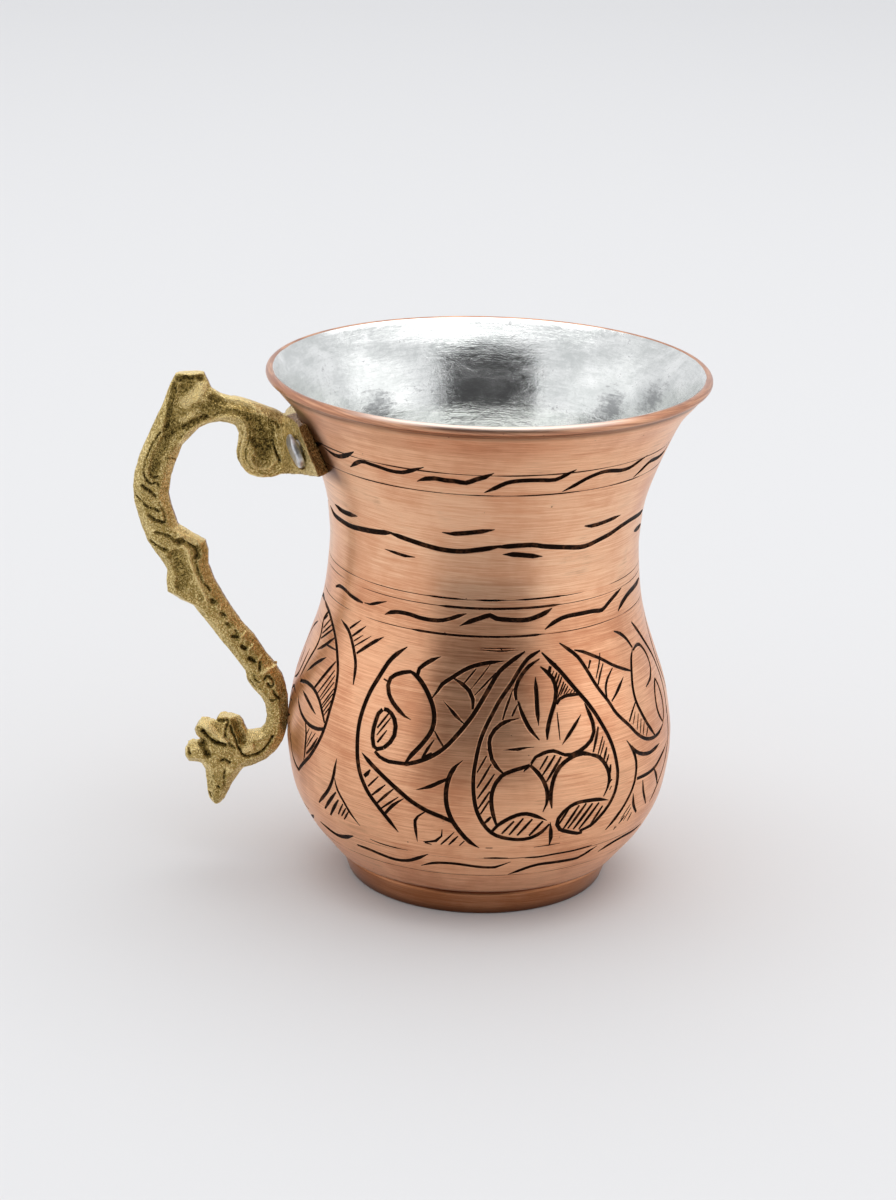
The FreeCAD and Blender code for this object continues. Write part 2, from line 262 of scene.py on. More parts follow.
# Strokes of the ornament: width, start share, end share, then turn and height of each point.
medallions = [
    (0.61, 0.35, 0.5, 110, 54.6, 105.5, 53.3, 102.1, 51.1, 99.9, 49.3, 96.1, 46.5, 93.4, 43.8, 91.5, 41.6,
        89.9, 39.1, 88.8, 35.5, 88.3, 32.5, 88.5, 29.3, 89.4, 26.2, 91.2, 23.6, 93.8, 21.5, 97.2, 20.4,
        101.9, 19.8, 105.8, 20, 109.1, 21.1, 111.2, 22.6),
    (0.66, 0.35, 0.7, 110.5, 54.2, 113.7, 52.3, 116.5, 50.7, 119.3, 48.7, 122.4, 46.4, 125, 44.5, 127.5,
        42.2, 129.5, 39.9, 131.6, 37.3, 133.1, 34.7, 134, 31.8, 134.3, 29.2, 133.5, 26.5, 131.4, 23.9, 128.3,
        21.9, 125.5, 20.6, 121.6, 20),
    (0.49, 0.4, 0.5, 113.7, 52.4, 115.1, 51.8, 116.2, 51),
    (0.59, 0.3, 0.7, 109.7, 53.1, 105.9, 52, 103.3, 50.6, 101.8, 49.4, 100.8, 47.9, 101, 46.2),
    (0.64, 0.5, 0.3, 101.6, 46, 102.3, 44.5, 103.5, 42.7, 105.1, 40.9, 107.7, 39),
    (0.66, 0.3, 0.35, 109.7, 51.7, 112.1, 50.6, 113.7, 49.5, 114.4, 48.4, 114.5, 47.1, 113.9, 45.6, 112.6,
        44, 111.3, 42.3, 110.4, 40.6, 110.1, 38.9),
    (0.50, 0.9, 0.3, 113.4, 51.6, 112.9, 50.9, 112.3, 50.4),
    (0.66, 0.1, 0.1, 107.8, 50, 107.7, 48.2, 107.7, 46.5, 107.6, 44.3, 107.7, 41.5),
    (0.25, 0.6, 0.5, 113.5, 50.8, 112.6, 50), (0.23, 0.6, 0.5, 114.5, 50.7, 113.4, 49.6),
    (0.27, 0.6, 0.5, 115.6, 50.4, 114.1, 48.8), (0.28, 0.6, 0.5, 116.4, 50, 114.4, 47.8),
    (0.29, 0.6, 0.5, 117.2, 49.5, 114.6, 46.9), (0.27, 0.6, 0.5, 117.7, 48.6, 114.9, 46),
    (0.22, 0.6, 0.5, 118.3, 48.2, 115.9, 46.3), (0.23, 0.6, 0.5, 119, 47.8, 117.1, 46.4),
    (0.23, 0.6, 0.5, 119.7, 47.2, 117.9, 46.4), (0.28, 0.6, 0.5, 120.5, 47, 119.2, 46.3),
    (0.30, 0.6, 0.5, 121.5, 47, 120.7, 46.3), (0.31, 0.6, 0.5, 122.4, 46.7, 121.9, 46),
    (0.53, 0.8, 0.5, 114.2, 44.9, 115.4, 45.7, 117.5, 46.1, 120.4, 46.1, 123.4, 45.9),
    (0.66, 0.2, 0.6, 124.2, 44.3, 125.3, 42.4, 126.1, 40.6, 126.1, 39, 124.8, 37.6, 122.8, 36.7, 120.3, 36,
        117.8, 35.6, 115.5, 35.8, 113.9, 36.3),
    (0.53, 0.1, 0.1, 122.3, 42.5, 119.7, 40.9, 117, 39.2, 114.8, 37.7),
    (0.18, 0.5, 0.5, 114.1, 43.5, 114.1, 41.2, 114.2, 38.6),
    (0.62, 0.2, 0.4, 101.6, 43, 99.1, 42.8, 96, 42.1, 94.1, 41.1, 92.9, 39.9, 92.6, 38.9, 92.9, 37.3, 93.5,
        35.8, 94.8, 34.5, 96.9, 33.2),
    (0.26, 0.5, 0.8, 91.9, 37.6, 93, 37.5),
    (0.53, 0.1, 0.1, 96.6, 37.5, 98.8, 37.6, 101, 37.6, 103.2, 37.8, 106, 37.8),
    (0.39, 0.3, 0.7, 100.1, 48.1, 98.4, 45.8, 97.4, 44.3, 96.6, 42.8),
    (0.37, 0.3, 0.8, 101.5, 45.5, 100.3, 44.3, 99.5, 43.4), (0.39, 0.6, 0.6, 91.9, 36.5, 89.3, 33.4),
    (0.37, 0.6, 0.6, 93.3, 35, 89.4, 30.5), (0.37, 0.6, 0.6, 94.3, 33.2, 89.6, 28.4),
    (0.37, 0.6, 0.6, 93.1, 29.9, 89.9, 26.4), (0.38, 0.6, 0.6, 93, 28.1, 90.6, 25.3),
    (0.52, 0.6, 0.6, 93.7, 24.8, 91.8, 23.4),
    (0.64, 0.7, 0.5, 104.6, 34.6, 101.8, 34.1, 98.9, 33.6, 96.3, 32.8, 94.7, 31.5, 93.7, 29.6, 93.6, 27.6,
        94.2, 25.3, 95.4, 22.9),
    (0.39, 0.8, 0.3, 104.6, 34.5, 103.5, 34, 102.7, 33.4),
    (0.66, 0.7, 0.2, 104.6, 34.6, 106.9, 33.1, 108.7, 31.4, 109.6, 29.9, 110, 28.2, 109.7, 26.8, 108.8, 25.3),
    (0.59, 0.7, 0.8, 104.9, 34.8, 106.3, 36, 108.8, 36.6, 111.9, 36.8, 115, 35.9),
    (0.38, 0.6, 0.5, 110.1, 36, 107.5, 33.6), (0.41, 0.6, 0.5, 112.4, 36, 108.3, 32.5),
    (0.46, 0.6, 0.5, 114.3, 35.6, 109.5, 31.2),
    (0.66, 0.3, 0.6, 111.5, 25.8, 111, 27.8, 111.1, 29.8, 111.9, 31.9, 113.7, 33.7, 116.3, 34.8, 119.2, 35.4,
        121.9, 35.5, 124.6, 34.9),
    (0.66, 0.3, 0.4, 120, 35.5, 122.1, 35.4, 124.4, 34.9),
    (0.66, 0.8, 0.2, 124.6, 34.9, 127.3, 34.1, 129.5, 32.4, 130.6, 30.7, 130.9, 28.9, 130.2, 27.6, 128.9,
        26.2),
    (0.32, 0.7, 0.6, 121.4, 36.4, 121, 35.8),
    (0.66, 0.7, 0.15, 94.2, 21.8, 95.7, 23, 98.1, 24.1, 101, 25, 103.9, 25.2, 106.9, 24.5, 110.3, 23.4),
    (0.45, 0.6, 0.6, 100.4, 23.8, 97, 21.2), (0.45, 0.6, 0.6, 103.1, 24.3, 99.2, 20.9),
    (0.48, 0.6, 0.6, 105.8, 24, 101.6, 20.7), (0.54, 0.6, 0.6, 109.1, 23.4, 105.2, 20.5),
    (0.66, 0.1, 0.1, 111.4, 23, 111.9, 21, 112.2, 19.5, 112, 17.7),
    (0.66, 0.1, 0.7, 131.2, 25.1, 127.5, 25.8, 124.3, 26.1, 120.3, 26.2, 117.5, 25.7, 115.3, 24.7, 113.9,
        23.5, 113.6, 22.3, 114.8, 21.1, 117.6, 20.3, 121.2, 19.5, 122.8, 19.5),
    (0.50, 0.6, 0.5, 116.9, 25.1, 114.1, 22.1), (0.49, 0.6, 0.5, 120.4, 25.6, 115.8, 21),
    (0.51, 0.6, 0.5, 122.8, 25.7, 117.4, 21), (0.57, 0.6, 0.5, 125.1, 25.4, 119.3, 20.6),
    (0.54, 0.6, 0.5, 127.5, 25.2, 121.3, 20.4), (0.53, 0.6, 0.5, 129.1, 24.3, 125.4, 20.9),
    (0.50, 0.5, 0.5, 127.9, 39.7, 125.2, 35.3), (0.31, 0.5, 0.5, 129.2, 37.8, 126.9, 34.7),
    (0.27, 0.5, 0.5, 129.7, 36.9, 127.7, 34.3), (0.44, 0.5, 0.5, 130.4, 35.6, 128.8, 33.1),
    (0.28, 0.5, 0.5, 131, 34.2, 129.7, 32.5), (0.54, 0.5, 0.5, 131.5, 32.2, 130.8, 30),
    (0.46, 0.5, 0.5, 132, 29.2, 130.9, 28.6), (0.26, 0.5, 0.5, 131.9, 27.9, 131.1, 27.2),
    (0.72, 0.2, 0.15, 63.3, 54.1, 59.7, 52.5, 57, 50.7, 54.4, 47.6, 52.4, 44.8, 51.3, 41.6, 51, 38.4, 51.4,
        35.3, 52.3, 32.2, 53.8, 29.4, 56.1, 26.9, 59, 24.7, 62.2, 22.5, 66, 19.7),
    (0.72, 0.5, 0.5, 65.5, 50, 68.3, 49.3, 71.2, 47.8, 73.6, 45.9, 75.1, 44.1, 75.7, 42.4, 75.4, 40.6, 74.1,
        39, 71.8, 37, 69.8, 35.5, 68.1, 33.8),
    (0.32, 0.6, 0.8, 56.5, 47.7, 58.4, 47.4),
    (0.66, 0.8, 0.1, 65.8, 49.9, 63, 49.5, 60.6, 48.9, 59, 48.1, 58.6, 46.8, 59.5, 45.4, 61.4, 44.1, 64.1,
        42.9, 66.3, 42.1, 68.4, 41.7),
    (0.64, 0.9, 0.1, 68.4, 49.6, 68.7, 50.7, 70.2, 51.5, 72.8, 52.5, 75.8, 53.3),
    (0.69, 0.9, 0.9, 58.4, 42.5, 57.2, 41.6, 56.8, 40.3, 56.5, 38.9, 56.6, 37.1, 57.4, 35.6, 58.7, 35.3,
        60.7, 35.8),
    (0.69, 0.9, 0.9, 60.7, 35.8, 62.7, 37.1, 63.8, 38.5, 63.8, 40.1, 63, 41.3, 61.7, 42.1, 60.1, 42.6, 58.8,
        42.6),
    (0.41, 0.5, 0.6, 60.9, 42.2, 57.7, 39.1), (0.30, 0.5, 0.5, 61.7, 41.4, 57.9, 37.8),
    (0.43, 0.3, 0.7, 61.1, 39.1, 58.4, 36.5),
    (0.61, 0.8, 0.9, 57.9, 34.8, 59.7, 34, 62.9, 33.5, 65.6, 33.6, 68.7, 33.7),
    (0.68, 0.3, 0.9, 104.6, 54.6, 99.8, 53, 95.7, 51.2, 93.3, 49.2, 90.2, 46.2, 87.5, 43.6, 85.2, 41.7, 82.6,
        39.7, 79.3, 37.4, 75.5, 35.6, 71.7, 34.4, 68.1, 33.6),
    (0.63, 0.3, 0.15, 74.3, 46, 75.7, 47.2, 77, 48.5, 80.1, 49.8, 84, 51.3, 87.7, 52.2, 92.8, 52.8, 97.1, 53),
    (0.63, 0.4, 0.6, 80.8, 49.7, 83.8, 48.8, 86.2, 47.6, 87.3, 46.3, 87.3, 44.6),
    (0.52, 0.15, 0.15, 77.9, 45.7, 80, 44.6, 82.5, 43.2, 85.4, 41.8), (0.37, 0.6, 0.6, 87.9, 51.6, 84.2, 49),
    (0.26, 0.5, 0.5, 92.8, 52.5, 86.4, 48), (0.31, 0.5, 0.5, 94.5, 51, 87.7, 47),
    (0.43, 0.4, 0.6, 76.1, 40.4, 77.8, 38.9, 79.3, 37.6),
    (0.47, 0.4, 0.8, 76.3, 38.8, 74.6, 37.1, 73.1, 35.2),
    (0.57, 0.5, 0.9, 75.9, 36.4, 74.6, 35.7, 73, 35.1),
    (0.72, 0.1, 0.1, 85.1, 35.5, 83.3, 34.5, 81.8, 33, 80.9, 31, 80.6, 28.8, 81, 26.5, 82.3, 24, 84.9, 21.4,
        87.8, 19.3, 90.6, 18.1),
    (0.72, 0.1, 0.8, 53.4, 33.9, 57.3, 32.2, 61.3, 30.6, 66, 28.6, 70.5, 26.7, 75.2, 25.2, 79.4, 24.3, 82.7,
        23.4),
    (0.67, 0.3, 0.9, 57, 31.2, 56.1, 30.3, 55, 29.6), (0.38, 0.4, 0.7, 59.9, 30.3, 56.4, 27.8),
    (0.45, 0.3, 0.6, 62.3, 29, 60, 27.6, 57.8, 26.3), (0.45, 0.4, 0.7, 64.9, 28.5, 62.4, 26.9, 59.5, 24.9),
    (0.37, 0.3, 0.6, 66.5, 27.1, 60.6, 23.9), (0.58, 0.2, 0.8, 68.2, 27, 64.7, 25.2, 62, 23.1),
    (0.64, 0.1, 0.6, 71.9, 29.1, 75.9, 30.1, 78.6, 31.1, 81.3, 32),
    (0.50, 0.4, 0.1, 74.5, 24.9, 72.4, 23.8, 71.5, 22.8, 71.6, 20.7, 71.9, 18.3),
    (0.50, 0.2, 0.3, 79.6, 21.7, 79.4, 20.2, 77.6, 19, 73.8, 18.5), (0.35, 0.9, 0.4, 74.2, 18.4, 76.3, 18.1),
    (0.50, 0.2, 0.4, 83.2, 21.3, 81.5, 20, 79.1, 18.3), (0.40, 0.4, 0.5, 84.3, 20.5, 81.5, 18.4),
    (0.38, 0.5, 0.5, 86.2, 19.5, 84.7, 18.4), (0.16, 0.3, 0.3, 88.8, 55.3, 95.1, 55.3, 101.3, 55.2),
    (0.18, 0.8, 0.4, 96.1, 55.2, 97.2, 54.7), (0.50, 0.3, 0.4, 138.7, 22.8, 135.2, 20.5, 132.3, 18.6),
    (0.46, 0.5, 0.4, 140, 20.2, 137.8, 18.9), (0.41, 0.5, 0.4, 136.6, 18.6, 136.1, 17.9),
    (0.57, 0.3, 0.5, 117.4, 55.5, 120.8, 54.1, 124.2, 52.5, 127, 50.1, 130.1, 46.7, 133.7, 43.6, 136.2, 41,
        141.1, 38, 144.6, 35.8, 149, 34.1, 153.9, 33.4, 158.7, 33.5, 162.5, 34.2),
    (0.48, 0.4, 0.5, 123.1, 53.8, 126.9, 53.1, 131, 52, 134.5, 51, 138.8, 49.5, 143.4, 48.2, 148.3, 47),
    (0.39, 0.9, 0.6, 129.4, 51.4, 128, 50), (0.24, 0.5, 0.5, 134.1, 52.2, 133, 50.4, 130.4, 48),
    (0.35, 0.5, 0.5, 134.8, 50.2, 132.4, 48.4, 130.6, 46.6),
    (0.42, 0.4, 0.6, 138.8, 48.9, 135.4, 47.4, 133.7, 45.8, 133.4, 44.1),
    (0.56, 0.1, 0.4, 143.3, 46.7, 140.5, 45.5, 137.5, 44.2, 135.1, 43.3),
    (0.54, 0.3, 0.7, 142.9, 55.1, 146.5, 54.2, 150.2, 52.6, 152.9, 50.6),
    (0.62, 0.4, 0.5, 152.6, 50.3, 150.3, 49, 148.2, 46.5, 146.9, 44.3, 146.6, 41.9, 148, 39.5, 150.6, 36.8,
        154.8, 33.7),
    (0.54, 0.8, 0.3, 152.8, 50.1, 155.3, 50.5, 158.7, 50.3, 161.7, 48.7, 163.2, 46.8, 162.7, 45, 159.6, 43.6,
        157, 43.2, 154.7, 42.9),
    (0.42, 0.5, 0.8, 146.5, 41.7, 143.3, 40.1, 141.3, 38.7), (0.24, 0.5, 0.5, 145, 40, 142.8, 37.9),
    (0.29, 0.5, 0.5, 146.4, 39.4, 144.5, 36.6), (0.30, 0.5, 0.5, 147.5, 38.3, 146, 35.7),
    (0.34, 0.5, 0.5, 149, 37.4, 147.5, 35.1), (0.37, 0.5, 0.5, 150.8, 36.1, 149.3, 34.5),
    (0.60, 0.8, 0.6, 163.8, 42.9, 161.3, 41.7, 159.7, 40.1, 159.2, 38.3, 160.2, 36.5, 162.6, 34.8),
    (0.62, 0.8, 0.6, 164.1, 42.8, 165.2, 41.3, 165.7, 39.2, 165.6, 37.3, 164.5, 35.5, 162.7, 34.3),
    (0.62, 0.4, 0.4, 155.9, 55, 160.7, 52.4, 165.4, 49.3, 169.6, 45.9, 171.2, 42.7, 171.1, 39.7, 170.4, 37.2,
        169.1, 34.9),
    (0.62, 0.4, 0.15, 141, 34.2, 143.1, 32.7, 146.6, 31.6, 150.6, 31.1, 154.7, 31.2, 157.8, 31.4),
    (0.62, 0.2, 0.8, 165.8, 30.2, 163.6, 29.4, 159.2, 28.4, 154.5, 27.4, 149.4, 27.1, 143.3, 27.3),
    (0.60, 0.2, 0.2, 138.9, 35.6, 141.5, 33.3, 142.8, 30.8, 142.7, 28.2, 141.6, 25.7, 139.1, 23, 135.6, 20.5,
        132.1, 18.6),
    (0.51, 0.3, 0.4, 146.7, 26.4, 148.4, 23.6, 152, 20.3),
    (0.62, 0.2, 0.6, 142.3, 24.5, 143.7, 21.8, 146.4, 19.7),
    (0.62, 0.3, 0.5, 153, 27.7, 157, 24.8, 159.5, 22.5), (0.35, 0.5, 0.4, 141.9, 22.3, 138.3, 19.8),
    (0.36, 0.5, 0.4, 142.5, 21.5, 139.9, 19.1), (0.39, 0.5, 0.4, 143.6, 20.2, 142.2, 18.6),
    (0.33, 0.5, 0.4, 137.2, 18.4, 136, 17.9),
    (0.6, 0.3, 0.3, 170.5, 37, 169, 32, 165, 27, 160, 23, 155, 19.8),
    (0.62, 0.3, 0.7, 10.6, 55.4, 19.1, 54.6, 25.6, 52.8, 30.3, 50.7, 33.6, 48.5, 36, 46.4, 37.5, 43.5, 37.8,
        40.5, 36.9, 35.9, 34.5, 32.2, 30.2, 28.6, 21.3, 23.8),
    (0.62, 0.9, 0.4, 21.7, 23.8, 17.6, 24.6, 15.2, 26.1, 13.6, 28.1),
    (0.56, 0.8, 0.4, 18.7, 54.6, 15.5, 52.7, 16.7, 50.9, 17.8, 49.2, 17.1, 47.2, 14.5, 44.3, 11.9, 40.4),
    (0.42, 0.6, 0.6, 19, 53.9, 15.6, 52.4), (0.43, 0.6, 0.6, 22.2, 53.7, 17.7, 51.2),
    (0.38, 0.6, 0.6, 24.5, 53.1, 18.5, 50.3), (0.43, 0.6, 0.6, 26.1, 52.4, 18.8, 49.4),
    (0.60, 0.4, 0.3, 28.9, 51.3, 23.6, 48.9, 19.1, 47.3), (0.32, 0.8, 0.6, 24, 49.2, 31.7, 49.4),
    (0.62, 0.1, 0.1, 27.5, 47.3, 21.7, 45.1, 16.5, 42.5),
    (0.61, 0.4, 0.8, 33.7, 47.6, 30.2, 44.8, 26.2, 41.2),
    (0.33, 0.6, 0.6, 34.5, 46.1, 29.1, 40.8), (0.29, 0.6, 0.6, 35.4, 45.3, 31.1, 40.4),
    (0.29, 0.6, 0.6, 36.1, 44.2, 31.9, 40), (0.30, 0.6, 0.6, 36.9, 43.1, 33.1, 39.2),
    (0.33, 0.6, 0.6, 37.1, 42.2, 33.8, 38.9), (0.29, 0.6, 0.6, 37.3, 41, 34.6, 38.3),
    (0.24, 0.6, 0.6, 37.4, 39.8, 35.4, 37.8),
    (0.59, 0.9, 0.6, 13.6, 40.1, 20.5, 41.1, 26.4, 41, 31.1, 39.9, 34.5, 38, 36.4, 36.5),
    (0.62, 0.15, 0.2, 18.6, 39.2, 24.1, 38.5, 31, 37.1),
    (0.62, 0.3, 0.8, 15.7, 37.3, 18.6, 36.1, 23.2, 35, 28.5, 34.5, 33.6, 34.8, 36.9, 35.5),
    (0.62, 0.6, 0.4, 25.5, 34.5, 27.3, 32.3, 27.4, 29.6, 26.6, 27), (0.24, 0.5, 0.5, 28.8, 34, 27.3, 32.2),
    (0.26, 0.5, 0.5, 30.6, 33.7, 28.3, 30.8), (0.30, 0.5, 0.5, 32.6, 33.8, 28.5, 30.2),
    (0.58, 0.2, 0.6, 34.2, 33.3, 31.5, 30.7, 28.3, 28.8),
    (0.62, 0.3, 0.4, 20.9, 23.8, 16, 25.5, 13.5, 28, 6, 32, -2, 38, -6, 45, -4, 51, 2, 55, 10.6, 55.4),
    (0.5, 0.3, 0.3, 9, 51, 3, 48.5, -0.5, 43.5, 3, 38.5), (0.5, 0.4, 0.3, 3, 38.5, 8.5, 40.5, 11.5, 46),
    (0.42, 0.2, 0.2, 3.2, 46, 4.6, 43.5, 5, 40.5),
    (0.5, 0.3, 0.3, 12, 37.2, 6, 37.4, 1.5, 34.4, 4, 31.2, 10, 32.4), (0.4, 0.2, 0.2, 4, 34.3, 9, 35),
    (0.3, 0.2, 0.2, -1.2, 49.5, -3.6, 46.5), (0.3, 0.2, 0.2, -0.8, 46.5, -4.2, 42.5),
    (0.3, 0.2, 0.2, -0.6, 43.6, -3.4, 40), (0.3, 0.2, 0.2, 0.8, 40.8, -1.8, 38),
    (0.3, 0.2, 0.2, 2, 38, -0.4, 35.2), (0.3, 0.2, 0.2, 11.5, 31.5, 8.4, 29.4),
    (0.3, 0.2, 0.2, 14, 29.8, 11.6, 27.6),
    (0.60, 0.1, 0.4, 44.1, 31.2, 43.3, 28.7, 42.4, 26.5, 39.7, 23.7, 33.9, 20),
    (0.46, 0.3, 0.15, 43.4, 27.1, 44.4, 24.9, 46.7, 22.9, 49.2, 20.8, 52.4, 18.8),
    (0.60, 0.4, 0.5, 43.7, 24.3, 36.9, 19.4), (0.60, 0.4, 0.5, 44.5, 22.9, 39.3, 18.5),
    (0.45, 0.4, 0.5, 46.3, 22.4, 43.5, 19.6), (0.37, 0.4, 0.5, 47.4, 21.7, 44.9, 19.5),
    (0.38, 0.4, 0.5, 48.4, 21.2, 45.9, 19),
    (0.58, 0.2, 0.3, 30.1, 54.9, 35.7, 53.8, 39.5, 51.9, 42.4, 49.8, 43.9, 48.2, 45, 45.1),
    (0.45, 0.2, 0.7, 41.6, 56.5, 36.3, 54.2), (0.44, 0.2, 0.7, 44.6, 55.8, 38.6, 53.1),
    (0.26, 0.2, 0.7, 44.1, 54.1, 40, 52.4), (0.25, 0.2, 0.6, 47.9, 54.4, 40.9, 51.6),
    (0.56, 0.1, 0.6, 53.4, 54.9, 48.5, 53.1, 42.7, 50.5),
]
bands = [
    (0.77, 0.4, 0.15, 30.3, 88.7, 34.9, 88.1, 38.8, 88.3, 42.8, 89.2, 46.8, 90.5),
    (0.68, 0.15, 0.15, 42.3, 86.7, 48.3, 88.7, 51.9, 88.7, 55.6, 88.5, 59.1, 88.2, 63.5, 88.3, 67, 89.1,
        70.9, 90.1),
    (0.83, 0.15, 0.1, 68, 86.9, 71.1, 87.7, 73.9, 88, 77, 87.8, 80, 87.8, 83.4, 87.6, 86.4, 88.4, 89, 89,
        91.6, 89.9),
    (0.74, 0.15, 0.15, 88.9, 85.7, 92.1, 86.7, 95.4, 87.8, 98.4, 88.2, 102.5, 88.3, 106.4, 88.2, 110.4, 88.1,
        113.7, 89, 116.6, 89.9),
    (0.72, 0.15, 0.15, 113.7, 85.4, 117.3, 86.4, 121.2, 87.6, 125.8, 88.4, 129.7, 88.4, 134.8, 87.9, 138.8,
        88, 141.8, 88.7, 146.2, 89.5),
    (0.85, 0.2, 0.2, 143.1, 85.3, 147.1, 86.6, 150.6, 87.6, 156.7, 87.4, 162.4, 87.7, 164.8, 89.2),
    (0.85, 0.2, 0.1, 21.4, 76, 26.7, 75.7, 32, 75.8, 38.6, 76.2),
    (0.85, 0.15, 0.3, 13, 74.5, 17.9, 73.6, 25.3, 73.5, 33.5, 73.5, 40.6, 73.9, 47.2, 74.3, 52, 74.7,
        55.2, 75),
    (0.77, 0.4, 0.4, 54.3, 74.9, 59.5, 74.5, 64.5, 74.1, 69.2, 73.7, 73.8, 73.4, 78.3, 73.3, 82.3, 73.4,
        86.7, 73.8, 91, 74.2, 95.3, 74.7),
    (0.77, 0.4, 0.45, 93.6, 74.5, 97.5, 74.6, 101, 74.7, 106.3, 74.7, 110.1, 74.3, 114.9, 73.9, 120, 73.5,
        125.4, 73.1, 129.3, 73.2, 134, 73.7, 140.5, 74.3, 146.4, 75, 154.9, 75.3, 169.9, 74.7),
    (0.73, 0.15, 0.1, 74.7, 76.8, 77.5, 76.7, 81, 76.9, 84.4, 77.2, 88.7, 77.6, 92.8, 78),
    (0.48, 0.15, 0.15, 51.5, 71.4, 56, 71.2, 60.3, 71, 64.4, 71.1),
    (0.79, 0.1, 0.1, 95.9, 73, 99.4, 73, 103, 72.8, 106.7, 72.5, 110.4, 72.3),
    (0.68, 0.3, 0.1, 125.9, 77.3, 129.5, 77, 134.2, 77.1, 138.6, 77.3, 144.1, 77.5),
    (0.85, 0.3, 0.3, 159.1, 72.2, 164.3, 72, 171.9, 71.6),
    (0.58, 0.5, 0.4, 21.5, 59.9, 25, 60.6, 29.3, 60.6, 34.1, 60.1, 38.2, 59.9, 41.5, 59.8),
    (0.44, 0.3, 0.15, 42.3, 59.9, 45.1, 60, 48.7, 60.7, 53, 61.5),
    (0.62, 0.15, 0.25, 52.6, 59, 55.2, 59.7, 58.9, 60.1, 63, 60.1, 66.9, 59.8, 71.7, 59.7, 75.4, 59.9, 78.9,
        60.5, 81.1, 61, 83.9, 61.5),
    (0.75, 0.12, 0.1, 81.4, 59.1, 85.2, 60.1, 88.7, 60.8, 92.1, 61.4, 94.4, 60.8, 97.5, 60.6, 102, 60.4,
        105.6, 60.4, 108.9, 60.8, 112.2, 61.4, 115, 62.2),
    (0.66, 0.2, 0.2, 112, 58.3, 115.1, 59.3, 118.1, 59.9, 121.2, 60.2, 126.7, 60.2, 132.5, 60.1, 137.4, 59.8,
        140.7, 60.6, 144.7, 61.5, 150, 62.4),
    (0.85, 0.2, 0.4, 146.8, 58.3, 149.6, 59.4, 155.3, 60.5, 162.4, 60.8, 172.2, 60.9),
    (0.85, 0.4, 0.2, 29.5, 14.7, 33.6, 14.2, 38.2, 13.8, 42.6, 14.3, 48, 15.7),
    (0.23, 0.4, 0.3, 55, 16.4, 58.8, 16, 65.7, 15.8, 68.3, 15.8),
    (0.68, 0.6, 0.15, 48.1, 13.6, 53.6, 13.5, 58.2, 13, 62.7, 12.7, 67.3, 13.1, 71.6, 14.4, 74.9, 15.7),
    (0.57, 0.2, 0.15, 71.8, 12.4, 75.9, 13.5, 80, 13.9, 84, 13.9, 87.9, 13.6, 91.9, 13.3, 95.9, 13.3, 98.2,
        13.9, 100.7, 14.6),
    (0.30, 0.3, 0.3, 92.1, 15.7, 95.6, 15.7, 99.6, 15.6),
    (0.39, 0.2, 0.3, 104.9, 15.3, 109.9, 15.3, 114.9, 15.5, 122, 15.5, 128.4, 15.7),
    (0.67, 0.2, 0.2, 100.6, 11.2, 103.6, 12, 106.7, 12.8, 110.2, 13.3, 114.2, 13.3, 119.7, 13.2, 124.7, 13.2,
        128.2, 14.2, 131.2, 15.1),
    (0.71, 0.3, 0.4, 133.2, 13.2, 137.8, 14.2, 144.4, 14.7, 150.4, 14.5, 156.9, 14.7),
    (0.29, 0.4, 0.3, 92.5, 18.1, 94.6, 18.1), (0.20, 0.3, 0.3, 107.2, 17.8, 111.5, 17.9, 115.6, 18),
    (0.24, 0.1, 0.2, 68, 64.2, 76, 64.15, 84, 64.15), (0.28, 0.2, 0.2, 86, 64.15, 92, 64.15, 98, 64.2),
    (0.24, 0.2, 0.1, 100, 64.15, 110, 64.2, 121, 64.2),
    (0.36, 0.1, 0.1, 73, 62.6, 84, 62.6, 96, 62.6, 108, 62.6, 119, 62.65),
    (0.34, 0.1, 0.1, 63, 57.45, 76, 57.4, 90, 57.4, 103, 57.4, 112, 57.5),
    (0.2, 0.1, 0.1, 89, 55.0, 96, 54.8, 102, 54.9),
]

# Bands by height: from, below, then the turn where the band's copies begin and the turn between copies
bandRuns = [(80, 100, 42, 122), (68, 80, 13, 157), (40, 68, 21, 155), (0, 40, 30, 127)]
bandReach = 358


def strokeLine(stroke, turned):
    # Place, outward direction and width at each step along the stroke
    width, start, end = stroke[:3]
    radius = cup["meanRadius"]
    points = [(math.radians(turn) * radius, height) for turn, height in zip(stroke[3::2], stroke[4::2])]
    line = smoothLine(points, cup["strokeSpacing"])
    grow = max(1, min(len(line) // 2, round(cup["taper"] / cup["strokeSpacing"])))
    made = []
    for i, point in enumerate(line):
        share = min(1, start + (1 - start) * i / grow, end + (1 - end) * (len(line) - 1 - i) / grow)
        turn = math.degrees(point.x / radius) + turned
        place = onWall(turn, point.y, 0)
        out = (onWall(turn, point.y, 1) - place).normalized()
        made.append((place, out, (cup["widthAdded"] + cup["widthGrowth"] * width) * share))
    return made


def strokeSection(width):
    # Graver cut: round bottom, shallow bright edge, and straight up above the wall
    half, rim, edge = width / 2, cup["rimDepth"], min(cup["rimWidth"], 0.03 + 0.12 * width)
    right = [(0.3 * width, -rim - cup["cutDepth"] * width * 0.7), (half, -rim), (half + 2 * edge, rim),
             (half + 2 * edge, 0.3)]
    return [(0, -rim - cup["cutDepth"] * width)] + right + [(-x, y) for x, y in reversed(right)]


